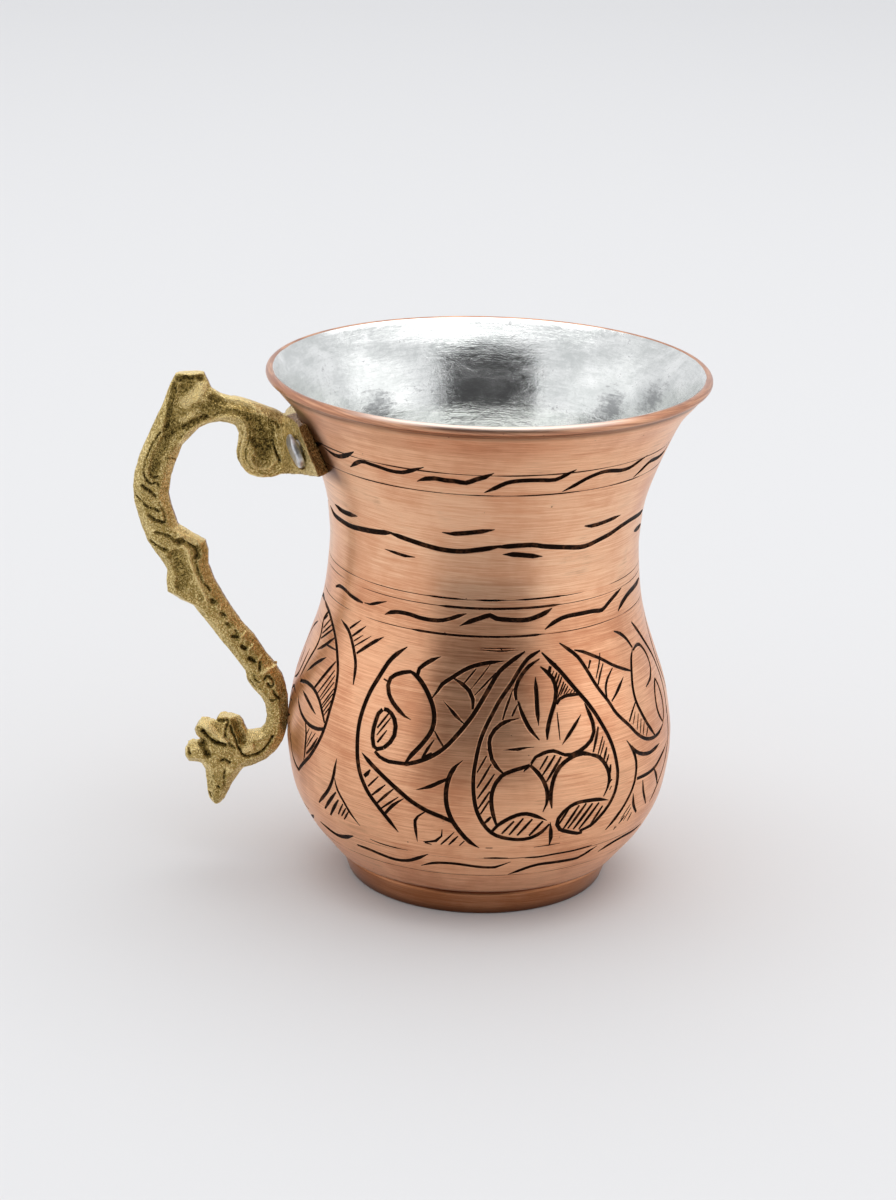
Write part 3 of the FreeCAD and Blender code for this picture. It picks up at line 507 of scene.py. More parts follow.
def sortedBatches(lines):
    # Strokes that touch each other never share a batch, so no cutter crosses itself
    tree = kdtree.KDTree(sum(len(line) for line in lines))
    owner = []
    for i, line in enumerate(lines):
        for place, out, width in line:
            tree.insert(place, len(owner))
            owner.append((i, width))
    tree.balance()
    near = [set() for line in lines]
    for i, line in enumerate(lines):
        for place, out, width in line:
            for found, index, distance in tree.find_range(place, cup["touchReach"] * mm):
                other, otherWidth = owner[index]
                if other != i and distance < ((width + otherWidth) / 2 + cup["batchGap"]) * mm:
                    near[i].add(other)
    batches = []
    for i, line in enumerate(lines):
        for batch in batches:
            if not near[i] & batch:
                batch.add(i)
                break
        else:
            batches.append({i})
    return [[lines[i] for i in sorted(batch)] for batch in batches]


def strokeCutter(lines):
    shape = bmesh.new()
    for line in lines:
        rings = []
        for i, (place, out, width) in enumerate(line):
            along = line[min(i + 1, len(line) - 1)][0] - line[max(i - 1, 0)][0]
            side = along.cross(out).normalized()
            rings.append([shape.verts.new(place + (side * x + out * y) * mm)
                          for x, y in strokeSection(width)])
        for ring, following in zip(rings, rings[1:]):
            for k in range(len(ring)):
                shape.faces.new((ring[k], ring[k - 1], following[k - 1], following[k]))
        shape.faces.new(rings[0])
        shape.faces.new(rings[-1])
    bmesh.ops.recalc_face_normals(shape, faces=shape.faces)
    mesh = bpy.data.meshes.new("strokes")
    shape.to_mesh(mesh)
    shape.free()
    return newObject("strokes", mesh)


def spinProfile(name, points, steps):
    # Closed profile of (radius, height) turned about the axis; both ends may lie on the axis
    shape = bmesh.new()
    ring = [shape.verts.new((-radius * mm, 0, height * mm)) for radius, height in points]
    edges = [shape.edges.new(pair) for pair in zip(ring, ring[1:])]
    bmesh.ops.spin(shape, geom=ring + edges, cent=(0, 0, 0), axis=(0, 0, 1), dvec=(0, 0, 0),
                   angle=2 * math.pi, steps=steps, use_merge=True, use_duplicate=False)
    bmesh.ops.remove_doubles(shape, verts=shape.verts, dist=seamMerge * mm)
    bmesh.ops.recalc_face_normals(shape, faces=shape.faces)
    mesh = bpy.data.meshes.new(name)
    shape.to_mesh(mesh)
    shape.free()
    mesh.shade_smooth()
    mesh.set_sharp_from_angle(angle=math.radians(creaseAngle))
    return newObject(name, mesh)


def cupProfile():
    outer = [(0, 5.4), (6, 5.4), (12, 5.4), (18, 5.4), (21.3, 5.4), (22.05, 4.9), (22.3, 4.2), (22.3, 0.5),
             (22.45, 0.15), (22.8, 0), (24.2, 0), (24.55, 0.15), (24.8, 0.55), (25.5, 2.5), (26.25, 4.3),
             (26.3, 4.6), (26.05, 5.0), (25.85, 5.15), (26.05, 5.32), (26.9, 5.6)]
    heights = [point.y for point in wallLine]
    for height in turnedLines:
        half = cup["neckLineWidth" if height > 80 else "lineWidth"] / 2
        heights = [h for h in heights if abs(h - height) > 0.45] + [height - half, height, height + half]
    wall = [(wallRadius(h) - (cup["lineDepth"] if h in turnedLines else 0), h) for h in sorted(heights)]
    (x, z), radius = cup["beadCentre"], cup["beadRadius"]
    bead = [(x + radius * math.sin(math.radians(a)), z - radius * math.cos(math.radians(a)))
            for a in range(25, 290, 20)]
    inner = []
    for point in reversed(wallLine[:-1:2]):
        out = wallNormal(point.y)
        inner.append((point.x - cup["thickness"] * out.x, point.y - cup["thickness"] * out.y))
    inner = [point for point in inner if 6.6 < point[1] < 98.3]
    return outer + wall + bead + inner + [(26.9, 6.5), (26.4, 6.35), (18, 6.35), (10, 6.35), (0, 6.35)]


def varyTurnedLines(thing):
    # The turned lines come and go round the wall
    for vertex in thing.data.vertices:
        place = vertex.co / mm
        radius = math.hypot(place.x, place.y)
        if any(abs(place.z - height) < 0.01 for height in turnedLines) and radius > 22:
            share = 0.85 + 1.1 * noise.noise(Vector((place.x * 0.12, place.y * 0.12, place.z)))
            share = max(0.65, share) if place.z > 80 else share
            radius = wallRadius(place.z) - cup["lineDepth"] * min(1.2, max(0.3, share))
            across = Vector((place.x, place.y, 0)).normalized() * radius
            vertex.co = Vector((across.x, across.y, place.z)) * mm
    return thing


def engrave(thing):
    lines = []
    for turned in (0, 180):
        lines += [strokeLine(stroke, turned) for stroke in medallions]
    # Each band is cut over and over until it meets its own beginning
    for lowest, highest, start, period in bandRuns:
        for turned in (0, period, 2 * period):
            lines += [strokeLine(stroke, turned) for stroke in bands if lowest <= stroke[4] < highest
                      and (not turned or min(stroke[3::2]) >= start
                           and max(stroke[3::2]) + turned < start + bandReach)]
    batches = sortedBatches(lines)
    for batch in batches:
        cutAway(thing, strokeCutter(batch))
    print("engraved", len(lines), "strokes in", len(batches), "batches,", len(thing.data.polygons), "faces")
    return thing


def settleNormals(thing):
    # The wall between the cuts keeps the normals of the uncut turned shape; the cuts stay crisp
    mesh = thing.data
    depths = []
    for vertex in mesh.vertices:
        place = vertex.co / mm
        depth = wallRadius(place.z) - math.hypot(place.x, place.y)
        depths.append(depth if 6 < place.z < 98 and depth < 0.5 else 0)
    layer = mesh.attributes.new("depth", "FLOAT", "POINT")
    layer.data.foreach_set("value", [max(0, depth) for depth in depths])
    normals = []
    for face in mesh.polygons:
        corners = [mesh.vertices[i].co / mm for i in face.vertices]
        onWallFace = all(6 < c.z < 98 and abs(wallRadius(c.z) - math.hypot(c.x, c.y)) < 0.02
                         for c in corners)
        cut = not onWallFace and any(0.02 < depths[i] < 0.5 for i in face.vertices)
        face.use_smooth = not cut
        for corner in corners:
            if onWallFace:
                out = wallNormal(corner.z)
                across = Vector((corner.x, corner.y, 0)).normalized() * out.x
                normals.append(Vector((across.x, across.y, out.y)))
            else:
                normals.append(Vector((0, 0, 0)))
    mesh.normals_split_custom_set(normals)


def copperMaterial():
    material, place = newMaterial("engraved copper")
    depth = attribute(place, "depth")
    patch = place.cloud(0.07, 4, 0.6)
    brush = place.stretched(0.05, 0.05, 4.2).cloud(1.0, 4, 0.7)
    brushFine = place.stretched(0.11, 0.11, 14).cloud(1.0, 3, 0.7)
    slant = place.node("ShaderNodeCombineXYZ", {}, {
        "X": place.axis("X") * 0.07, "Y": place.axis("Y") * 0.07,
        "Z": (place.axis("Z") + place.axis("X") * 0.1) * 3.2}).cloud(1.0, 3, 0.7)
    cell = place.node("ShaderNodeTexVoronoi", {}, {"Vector": place, "Scale": 0.32})
    pick = place.node("ShaderNodeTexVoronoi", {}, {"Vector": place, "Scale": 0.32}, "Color").axis("X")
    pits = (1 - cell.between(0.03, 0.065)) * pick.between(0.66, 0.68)
    dirt = (depth + (place.cloud(2.5, 2) - 0.5) * 0.016).between(0.027, 0.042)
    streak = brush * 0.3 + brushFine * 0.47 + slant * 0.23
    tone = (patch * 0.3 + streak * 0.7).between(0.42, 0.58)
    # Painted light: the copper is painted lighter from 59 to 67 mm up; above 80 to 90 mm this lightening
    # falls by 45 %.
    neckLight = place.axis("Z").between(59, 67) * (1 - 0.45 * place.axis("Z").between(80, 90))
    bare = neckLight.colours(tone.colours((0.62, 0.265, 0.135, 1), (0.95, 0.53, 0.31, 1)),
                        tone.colours((0.74, 0.35, 0.19, 1), (0.98, 0.61, 0.385, 1)))
    blot = place.stretched(1, 1, 1.5).node("ShaderNodeVectorMath", {"operation": "ADD"}, {
        1: place.node("ShaderNodeTexNoise", {}, {"Vector": place, "Scale": 0.9}, "Color")})
    spotted = 1 - blot.node("ShaderNodeTexVoronoi", {}, {"Scale": 0.12}).between(0.04, 0.12)
    stain = (patch.between(0.53, 0.7) * brush.between(0.42, 0.6)).larger(spotted * patch.between(0.45, 0.55))
    stained = (stain * 0.5).colours(bare, (0.36, 0.14, 0.065, 1))
    # Painted shade: below 4.6 to 5.8 mm the base ring is painted darker, standing for the shaded floor it
    # mirrors, and its bottom 0.3 to 2.2 mm darker still.
    footShade = 1 - place.axis("Z").between(4.6, 5.8)
    soleShade = 1 - place.axis("Z").between(0.3, 2.2)
    footShadePainted = (footShade * (0.98 - 0.3 * tone)).colours(stained, (0.37, 0.14, 0.055, 1))
    # Painted shade: a dark line in the crease above the base ring, 4.4 to 6.6 mm up, and a streaky dark band
    # under the lip, 96.6 to 98.5 mm up.
    creaseShade = place.axis("Z").between(4.4, 5.1) * (1 - place.axis("Z").between(5.5, 6.6))
    underLipShade = place.axis("Z").between(96.6, 97.8) * (1 - place.axis("Z").between(98.3, 98.5))
    creaseShade = creaseShade.larger(underLipShade * (0.75 + 0.6 * brush.between(0.4, 0.6)))
    # Painted shadow: the copper is painted dark beside the lug on both sides, from 80 to 97.5 mm up, and in a
    # ring of 1.5 to 4.5 mm round the hook's touch.
    aside = place.axis("Y") * place.axis("Y")
    handleShadow = (1 - aside.between(300, 460)) * 0.6 + (1 - aside.between(285, 345)) * 0.4
    handleShadow = handleShadow * place.axis("Z").between(80, 84) * (1 - place.axis("Z").between(95, 97.5))
    handleShadow = handleShadow * (1 - place.axis("X").between(-26, -20)) * 0.93
    handleShadow = handleShadow.larger((1 - place.distanceTo(cup["hookTouch"]).between(1.5, 4.5)) * 0.9)
    # All the painted shade above darkens the copper here.
    shadePainted = (soleShade * 0.8).larger(creaseShade * 0.6).larger(handleShadow).colours(footShadePainted, (0.12, 0.04, 0.016, 1))
    marked = (pits * 0.8).colours(shadePainted, (0.12, 0.05, 0.03, 1))
    rim = place.axis("Z").between(98.2, 98.7)
    brownRim = (rim * (0.85 - 0.5 * slant.between(0.4, 0.6))).colours(marked, (0.42, 0.19, 0.12, 1))
    # The lip's top is pale on the front only: tin wiped over the lip together with a painted highlight.
    tinAndHighlightOnLip = place.axis("Z").between(99.2, 99.85) * (1 - place.axis("Y").between(-39, -30)) * 0.8
    rimmed = tinAndHighlightOnLip.colours(brownRim, (0.92, 0.78, 0.68, 1))
    rubbedOut = place.cloud(0.5, 3, 0.7).between(0.5, 0.68) * 0.8
    inDirt = rubbedOut.colours((0.02, 0.009, 0.005, 1), (0.14, 0.055, 0.025, 1))
    return setSurface(material, {
        "Base Color": dirt.colours(rimmed, inDirt),
        "Roughness": 0.28 + 0.11 * streak.between(0.35, 0.65) + dirt * 0.3 + pits * 0.2,
        "Metallic": 0.95,
        "Anisotropic": 0.75,
        "Anisotropic Rotation": 0.25,
        "Normal": (streak - pits * 0.5).bumped(0.06, 0.6),
    })


copperCup = engrave(varyTurnedLines(spinProfile("copper_cup", cupProfile(), cup["steps"])))
settleNormals(copperCup)
giveMaterial(copperCup, copperMaterial())
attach(copperCup, "root")
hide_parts("copper_body")
print("copper cup done")


# Tin lining: wiped over the whole inside and up onto the lip, in wavy strokes.
tin = {
    "steps": 240,
    "wave": 0.05,
    "edgeWave": 0.12,
    "reflectionReach": 5.5,
    "reflectionSpots": [(-21.8, 23.5, 85.3), (24.2, 21.7, 86.7), (31.5, 13, 91)],
}
tinPoints = [
    (26.896, 6.75), (28.924, 9.115), (31.78, 12.859), (34.435, 18.451), (35.666, 25.202), (35.8, 28.498),
    (35.651, 31.774), (34.424, 38.702), (32.158, 45.547), (30.142, 51.631), (28.852, 57.762),
    (28.15, 65.991), (28.25, 70.105), (29.0, 76.4), (30.55, 82.5), (31.35, 85.2), (32.47, 88.0),
    (33.45, 90.0), (34.51, 92.0), (35.71, 94.0), (37.07, 96.0), (37.87, 97.0), (38.71, 98.0), (39.56, 99.0),
    (40.2, 99.75),
]


def tinProfile():
    floorLine = [(0, 6.55), (7, 6.55), (14, 6.55), (21, 6.55), (25.2, 6.56), (26.3, 6.6)]
    wall = [(point.x, point.y) for point in smoothLine(tinPoints, 1.0)]
    behind = [(40.42, 99.9), (40.55, 99.6), (40.3, 99.1)]
    for point in reversed(wallLine[:-2:4]):
        out = wallNormal(point.y)
        behind.append((point.x - 0.92 * out.x, point.y - 0.92 * out.y))
    return floorLine + wall + behind + [(26, 6.42), (0, 6.42)]


def waveTin(thing):
    for vertex in thing.data.vertices:
        place = vertex.co / mm
        radius = math.hypot(place.x, place.y)
        if place.z > 99.5:
            push = tin["edgeWave"] * (noise.noise(place * 0.3) - 0.3)
            vertex.co.x += push * place.x / radius * mm
            vertex.co.y += push * place.y / radius * mm
        elif 7.5 < place.z < 98.5 and radius < wallRadius(place.z) - 1.02:
            push = tin["wave"] * (noise.noise(place * 0.16) + 0.5 * noise.noise(place * 0.42))
            vertex.co.x -= push * place.x / radius * mm
            vertex.co.y -= push * place.y / radius * mm
    return thing


def tinMaterial():
    material, place = newMaterial("wiped tin")
    swirl = place.stretched(0.1, 0.1, 0.16).cloud(1.0, 4, 0.6, 0.9)
    wipe = place.stretched(0.22, 0.22, 1.5).cloud(1.0, 4, 0.65, 0.8)
    scale = place.stretched(0.8, 0.8, 1.1).cloud(1.0, 5, 0.75, 0.5)
    mixed = (swirl * 0.5 + wipe * 0.25 + scale * 0.25).between(0.38, 0.62)
    grimeAndReflections = scale.between(0.56, 0.7) * swirl.between(0.45, 0.6)
    # Painted reflection: dark patches round three given spots on the inside stand for mirrored dark
    # surroundings; the other dark blotches are dirt.
    for spot in tin["reflectionSpots"]:
        near = place.distanceTo(spot) / tin["reflectionReach"]
        grimeAndReflections = grimeAndReflections.larger((1.1 - near + (wipe + scale - 1) * 2.0).between(0.1, 1.1))
    bare = mixed.colours((0.64, 0.66, 0.635, 1), (0.9, 0.91, 0.88, 1))
    return setSurface(material, {
        "Base Color": (grimeAndReflections * 0.75).colours(bare, (0.18, 0.185, 0.19, 1)),
        "Roughness": 0.1 + 0.12 * swirl.between(0.35, 0.65) + 0.1 * grimeAndReflections,
        "Metallic": 1.0,
        "Normal": (wipe * 0.45 + scale * 0.5 + swirl * 0.5).bumped(0.135, 0.62),
    })


tinLining = waveTin(spinProfile("tin_lining_wiped", tinProfile(), tin["steps"]))
giveMaterial(tinLining, tinMaterial())
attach(tinLining, "root")
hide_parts("tin_lining")
print("tin lining done")


# Cast handle: the solid is remeshed finely and the relief is worked into both broad sides.
handle = {
    "voxel": 0.215,
    "smoothing": 3,
    "relief": 1.6,
    "grain": 0.045,
    "lumps": 0.09,
    "ragged": 0.16,
    "reach": 2.3,
    "seed": 7,
    "flatShare": 0.65,
}
# Relief strokes: width, height (cut in below zero), darkness, then x and height of each point.
relief = [
    (4.4, -0.26, 0.42, -55.8, 95.8, -56.1, 94.4, -56.7, 92.2, -57.6, 90, -58.6, 88.1),
    (2.3, -0.28, 0.6, -58.8, 87.5, -60.1, 85, -61.3, 82.8, -62.1, 80.5, -62.5, 78.6),
    (2.7, -0.28, 0.66, -54.5, 91.1, -52.1, 91.6, -49.4, 91.7, -47, 91.4, -44.9, 90.6, -43.4, 89.3),
    (3.7, -0.34, 0.72, -43.1, 89.2, -42.3, 87.3, -42, 85.1, -42, 83.1, -42.1, 82),
    (1.3, -0.34, 0.98, -58, 96.6, -56.2, 97, -53.7, 96.9),
    (1.25, -0.36, 0.95, -58.7, 95.3, -59.2, 92.9, -59.6, 90.8, -59.7, 88.6, -60.3, 86.9),
    (2.8, 0.1, -1.3, -56.7, 92.2, -55.1, 93.6, -53.7, 95.1),
    (1.3, 0.05, -0.8, -57.2, 88.9, -55.9, 89.9, -54, 90.9),
    (1.25, -0.34, 0.9, -60.2, 85.3, -58.6, 86.7, -56.6, 87.8, -54.5, 88.9, -52.9, 89.7),
    (1.3, -0.3, 0.9, -51.9, 93.4, -49.5, 92.4),
    (1.4, -0.36, 0.9, -43.8, 85.6, -42.8, 83.9, -41.3, 83.4, -40.8, 84.5),
    (1.3, -0.2, 0.8, -40.9, 89.2, -40.3, 87.3, -40.6, 85.4),
    (0.45, -0.22, 0.9, -61.3, 86.5, -62.8, 84.1, -63.9, 81.6, -64.4, 79.1, -64.2, 77.7, -63.5, 76.9),
    (0.35, -0.16, 0.8, -57.3, 85.7, -55.6, 87.6, -53.5, 88.7, -51.3, 90, -49.2, 90.7, -46.7, 90.7, -45.1,
        89.5, -44.4, 87.8, -44.6, 85.5, -45.2, 83.3, -45.1, 81.6, -44, 80),
    (0.55, 0.16, -0.8, -57.6, 84.7, -56.1, 86.8, -54, 88, -51.9, 88.9, -49.7, 89.8, -47.5, 89.8, -45.9, 89,
        -45.2, 87.5, -45.5, 85.5, -46.1, 83.1, -46, 81.4, -45.2, 79.3, -43.5, 78.5, -41.6, 78.7),
    (0.3, -0.12, 0.5, -46.2, 87.8, -45.9, 86.1, -46.5, 83.8, -46.7, 81.4),
    (0.5, 0.14, -0.7, -44.3, 81.9, -43.5, 80.4, -41.9, 79.9, -40.3, 80.6, -39.4, 82.1),
    (0.45, 0.12, -0.6, -43.8, 83.3, -42.9, 81.7, -41.6, 81.3, -40.5, 82),
    (0.5, -0.5, 1, -40.3, 85.8, -39.9, 84.3, -39.4, 82.9, -38.9, 81.7),
    (1, -0.2, 0.9, -40.3, 89.4, -39.5, 89, -39.2, 88.2),
    (0.6, 0.14, -0.8, -38.5, 89.7, -37, 89.8, -35.6, 88.7, -34.1, 87.5, -32.9, 86.9, -32.2, 84.9),
    (0.3, -0.12, 0.7, -49.1, 90.4, -50.8, 90.5, -52.1, 90.2),
    (0.4, -0.2, 0.9, -60.3, 81.4, -59.3, 81.4, -58.5, 80.8),
    (0.8, 0.1, -0.9, -47.7, 93, -45, 92.3, -42.5, 91.2),
    (0.7, -0.3, 0.95, -62.4, 79.4, -63.2, 78.4, -62.5, 77.6, -61.8, 77.7),
    (0.5, -0.25, 0.95, -63.9, 77.1, -63.1, 76.4, -62.2, 76.6),
    (0.8, -0.34, 0.95, -64.8, 76, -63.9, 75.3, -63, 74.6, -62.2, 74),
    (0.55, -0.34, 1, -65.8, 73.6, -64.9, 72.8, -63.6, 71.8, -62.3, 71.4, -61.5, 71),
    (0.7, -0.34, 1, -63.5, 70.1, -62.6, 69.4, -61.5, 69, -60.5, 68.9),
    (0.7, -0.34, 0.9, -62.2, 66.8, -60.9, 66.6, -59.6, 66, -58.5, 65.1),
    (0.9, -0.32, 0.95, -63.2, 64.7, -62.1, 64.1, -61, 63.6, -60.1, 63.3),
    (1.5, -0.5, 1.1, -57.8, 65.2, -56.4, 65.3, -55, 64.6, -54.3, 63.3, -54.2, 62.2),
    (0.8, 0.16, -1, -57.9, 66.6, -56.4, 65.9, -54.5, 65.1),
    (3.2, -0.26, 0.5, -58.4, 62.1, -57.6, 60.1, -56.9, 57.8, -57.2, 56.7),
    (0.85, 0.2, -0.9, -57.3, 64.4, -56.1, 63.3, -55.7, 61.6, -55, 59.3, -54.2, 57.3, -53.2, 55.2, -52.6,
        53.7),
    (0.45, -0.25, 0.8, -54.7, 61.9, -54.2, 59.6, -53.2, 57.3, -51.8, 55.5),
    (0.4, -0.2, 0.9, -58.3, 56.2, -57.9, 55.9), (0.8, -0.36, 1.1, -51.6, 53.5, -51.2, 53),
    (0.8, -0.36, 1, -49.5, 50.9, -49, 50.4), (0.4, -0.15, 0.6, -53.9, 54.4, -53.2, 53.9, -53.9, 53.4),
    (0.5, -0.25, 0.8, -61.9, 76.5, -61.5, 75.8), (0.4, -0.2, 0.6, -61.5, 72.8, -60.9, 71.5, -60.2, 69.3),
    (0.9, -0.38, 1, -51.3, 53.4, -50.7, 53), (0.8, -0.34, 1, -49.9, 50.9, -49.4, 50.5),
    (0.8, -0.34, 0.9, -48.7, 48.7, -48, 48.5), (0.9, -0.475, 1.4, -47.5, 46.3, -46.8, 46.1),
    (0.9, -0.475, 1.4, -45.8, 44.3, -45.1, 43.9), (1.1, -0.5, 1.4, -44.3, 41.9, -43.4, 41.4),
    (0.5, -0.25, 0.98, -47.1, 47.6, -46.4, 46.1), (0.5, 0.325, -1.4, -46, 46.3, -45.5, 46.6, -45.2, 47.1),
    (0.5, 0.35, -1.4, -44.9, 43.7, -44.2, 44, -43.6, 44.6),
    (0.5, 0.35, -1.4, -43, 41.6, -42.4, 41.9, -42, 42.4),
    (1, 0.375, -1.4, -41.6, 39.2, -40.6, 39.8, -39.6, 40.1), (0.7, 0.18, -0.5, -50.6, 52.1, -50, 51.6),
    (0.7, 0.18, -0.5, -49, 49.7, -48.4, 49.4), (0.6, -0.375, 1.26, -42.3, 41.2, -42.2, 39.7),
    (0.5, -0.375, 1.26, -41.4, 37.8, -40.8, 38.6, -39.8, 37.8, -39.7, 36.8, -40.3, 36.3, -40.8, 37),
    (0.4, -0.25, 1.12, -43.6, 38.6, -43, 37.5, -42.2, 37.2),
    (0.4, -0.25, 1.12, -44.2, 37.3, -43.2, 36.1, -42.2, 35.8),
    (0.5, -0.325, 1.26, -40.3, 33.7, -39.7, 33.5, -39.1, 33.8),
    (0.6, -0.312, 1.12, -39.7, 35.5, -39.2, 34.6, -38.4, 33.9),
    (1.3, 0.275, -1.4, -53.3, 28.2, -51.6, 27.1, -49.9, 25.7, -48.6, 25.1),
    (1, -0.672, 1.4, -53.2, 26.8, -52.2, 25.6, -50.8, 24.7, -48.9, 24.3),
    (1.6, -0.48, 1.4, -53.5, 24.2, -52.8, 23.3, -52.3, 22), (0.6, -0.48, 1.4, -56.1, 22.8, -55.8, 22),
    (0.8, 0.24, -1.4, -56.1, 23.6, -55.2, 24), (1, 0.225, -1.4, -49.8, 29.7, -48.9, 29.6),
    (0.8, -0.425, 1.4, -50.7, 28.7, -49.7, 28.9, -48.5, 29.4),
    (0.55, -0.425, 1.26, -47.9, 28.1, -47, 25.6, -46, 23.3, -45.2, 22.1, -43.9, 22.1, -42.1, 22.9, -40.6,
        24.6, -39.7, 26.3),
    (1.6, -0.375, 0.63, -47.1, 29.3, -46.3, 27.2, -45.6, 25.1), (1.6, 0.24, -1.4, -45, 23.3, -43.8, 24),
    (0.55, -0.4, 1.4, -49.7, 21, -48.9, 21.2, -48, 20.6), (0.4, -0.256, 1.08, -50.2, 15.5, -49.9, 15.3),
    (0.4, -0.224, 0.9, -51.3, 17.7, -51, 17.4), (0.6, -0.4, 1.4, -52.1, 13.7, -51.8, 13),
    (0.5, -0.224, 0.9, -48.9, 19.1, -49.1, 17.4, -48.9, 15.7),
    (0.5, -0.25, 0.98, -48.2, 29, -48.9, 27.1, -48.2, 24.8, -47, 23.6),
]


def reliefMarks():
    marks = []
    for number, (width, height, dark, *places) in enumerate(relief):
        for point in smoothLine(list(zip(places[::2], places[1::2])), max(0.15, width / 6)):
            marks.append((point, number))
    tree = kdtree.KDTree(len(marks))
    for i, (point, number) in enumerate(marks):
        tree.insert((point.x, 0, point.y), i)
    tree.balance()
    return marks, tree


def reliefAt(marks, tree, place):
    # Height and darkness of the strokes over this place; wide strokes are flat across their middle
    wander = noise.noise_vector(place * 0.9) * handle["ragged"]
    nearest = {}
    spot = (place.x + wander.x, 0, place.z + wander.z)
    for found, index, distance in tree.find_range(spot, handle["reach"]):
        number = marks[index][1]
        nearest[number] = min(nearest.get(number, 9), distance)
    rises, tones = [0], [0]
    for number, distance in nearest.items():
        width, rise, tone = relief[number][:3]
        share = distance * 2 / width
        if share < 1:
            flat = handle["flatShare"] if width > 1.2 else 0
            fall = max(0, share - flat) / (1 - flat)
            rises.append(rise * (1 - fall ** 2) ** 2)
            tones.append(tone * (1 - share ** 2))
    return min(rises) + max(rises), max(tones) + min(tones)


def workRelief(thing):
    mesh = thing.data
    # Without a seed of its own the ragged edge would differ from run to run
    noise.seed_set(handle["seed"])
    marks, tree = reliefMarks()
    low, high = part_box("brass_handle")
    normals = [vertex.normal.copy() for vertex in mesh.vertices]
    tones, copperReflections = [], []
    for vertex, normal in zip(mesh.vertices, normals):
        place = vertex.co / mm
        facing = min(1, max(0, (abs(normal.y) - 0.08) / 0.4))
        height, dark = reliefAt(marks, tree, place) if facing else (0, 0)
        grain = noise.noise(place * 1.5) + 0.6 * noise.noise(place * 3.1)
        lump = noise.noise(place * 0.45)
        push = height * facing * handle["relief"] + grain * handle["grain"] + lump * handle["lumps"]
        place = vertex.co + normal * push * mm
        vertex.co = [min(max(value, a), b) for value, a, b in zip(place, low, high)]
        # Hands have polished the top and the bevels bright; the lighter top is also a painted highlight from
        # above.
        rubbedAndToplit = max(0, normal.z - 0.45) * 1.6 + max(0, 1 - abs(abs(normal.y) - 0.45) / 0.3) * 0.5
        tones.append(max(-1.3, min(1.2, dark)) * facing - grain * 0.2 - rubbedAndToplit)
        # Painted reflection: faces turned towards the cup are painted reddish, as the copper mirrored in
        # them.
        copperReflection = min(1, max(0, normal.x * 1.5 - normal.z)) * (1 - facing)
        if abs(place.y) > 3 * mm and place.z > 70 * mm:
            # The wings of the lug are painted dark reddish on the ends and the top, as painted reflection of
            # the copper cup and painted shade.
            copperReflection = max(copperReflection, min(0.85, max(abs(normal.y) * 3 - 1.6, normal.z * 2 - 0.5, 0)))
            tones[-1] += rubbedAndToplit
        copperReflections.append(copperReflection)
    mesh.attributes.new("patina", "FLOAT", "POINT").data.foreach_set("value", tones)
    mesh.attributes.new("copperReflection", "FLOAT", "POINT").data.foreach_set("value", copperReflections)
    mesh.shade_smooth()
    return thing


def brassMaterial():
    material, place = newMaterial("cast brass")
    patina = attribute(place, "patina")
    grain = place.cloud(2.3, 2, 0.7).between(0.4, 0.6)
    speck = place.cloud(4.6, 2, 0.7).between(0.4, 0.6)
    patch = place.cloud(0.25, 3, 0.6)
    cover = patina * 0.8 + (patch - 0.5) * 0.9
    level = 0.36 + grain * 0.36 + speck * 0.22 - cover * 0.72
    dark = 1 - level.between(0, 0.6)
    old = level.between(-0.1, 0.55).colours((0.05, 0.033, 0.006, 1), (0.46, 0.325, 0.09, 1))
    gold = level.between(0.4, 1.15).colours(old, (1.0, 0.79, 0.37, 1))
    # Painted reflection of the copper, used where the casting faces the cup.
    reflectedCopperColour = (grain * 0.6 + speck * 0.4).colours((0.12, 0.045, 0.009, 1), (0.46, 0.21, 0.06, 1))
    return setSurface(material, {
        "Base Color": attribute(place, "copperReflection").colours(gold, reflectedCopperColour),
        "Roughness": 0.24 + 0.2 * dark,
        "Metallic": 0.88,
        "Normal": (grain * 0.6 + speck * 0.3 + level * 0.3).bumped(0.12, 1.0),
    })


brassCasting = workRelief(remeshedCopy("brass_handle", "brass_casting", handle["voxel"], handle["smoothing"]))
giveMaterial(brassCasting, brassMaterial())
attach(brassCasting, "root")
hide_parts("brass_handle")
print("brass casting done,", len(brassCasting.data.polygons), "faces")


# Rivets: each solid is remeshed so that the hammered head can be dressed flat and uneven.
rivet = {
    "voxel": 0.13,
    "smoothing": 4,
    "dent": 0.05,
    "grain": 0.012,
    "flat": 0.55,
}


def dressRivet(node, name, seed):
    made = remeshedCopy(node, name, rivet["voxel"], rivet["smoothing"])
    low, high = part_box(node)
    middle = (Vector(low) + Vector(high)) / 2
    axis = Vector((middle.x, middle.y, 0)).normalized()
    crown = max(vertex.co.dot(axis) for vertex in made.data.vertices) - rivet["flat"] * mm
    for vertex, normal in [(vertex, vertex.normal.copy()) for vertex in made.data.vertices]:
        vertex.co -= axis * max(0, vertex.co.dot(axis) - crown) * 0.75
        place = vertex.co / mm + Vector((seed, 0, 0))
        push = noise.noise(place * 0.6) * rivet["dent"] + noise.noise(place * 2.2) * rivet["grain"]
        place = vertex.co + normal * push * mm
        vertex.co = [min(max(value, a), b) for value, a, b in zip(place, low, high)]
    made.data.shade_smooth()
    return made


def rivetMaterial():
    material, place = newMaterial("aluminium")
    rub = place.stretched(0.5, 2.5, 2.5).cloud(1.0, 4, 0.65)
    dull = place.cloud(0.9, 3)
    return setSurface(material, {
        "Base Color": dull.between(0.35, 0.65).colours((0.5, 0.5, 0.51, 1), (0.7, 0.7, 0.71, 1)),
        "Roughness": 0.3 + 0.2 * rub,
        "Metallic": 1.0,
        "Normal": (rub * 0.6 + dull * 0.4).bumped(0.12, 0.5),
    })


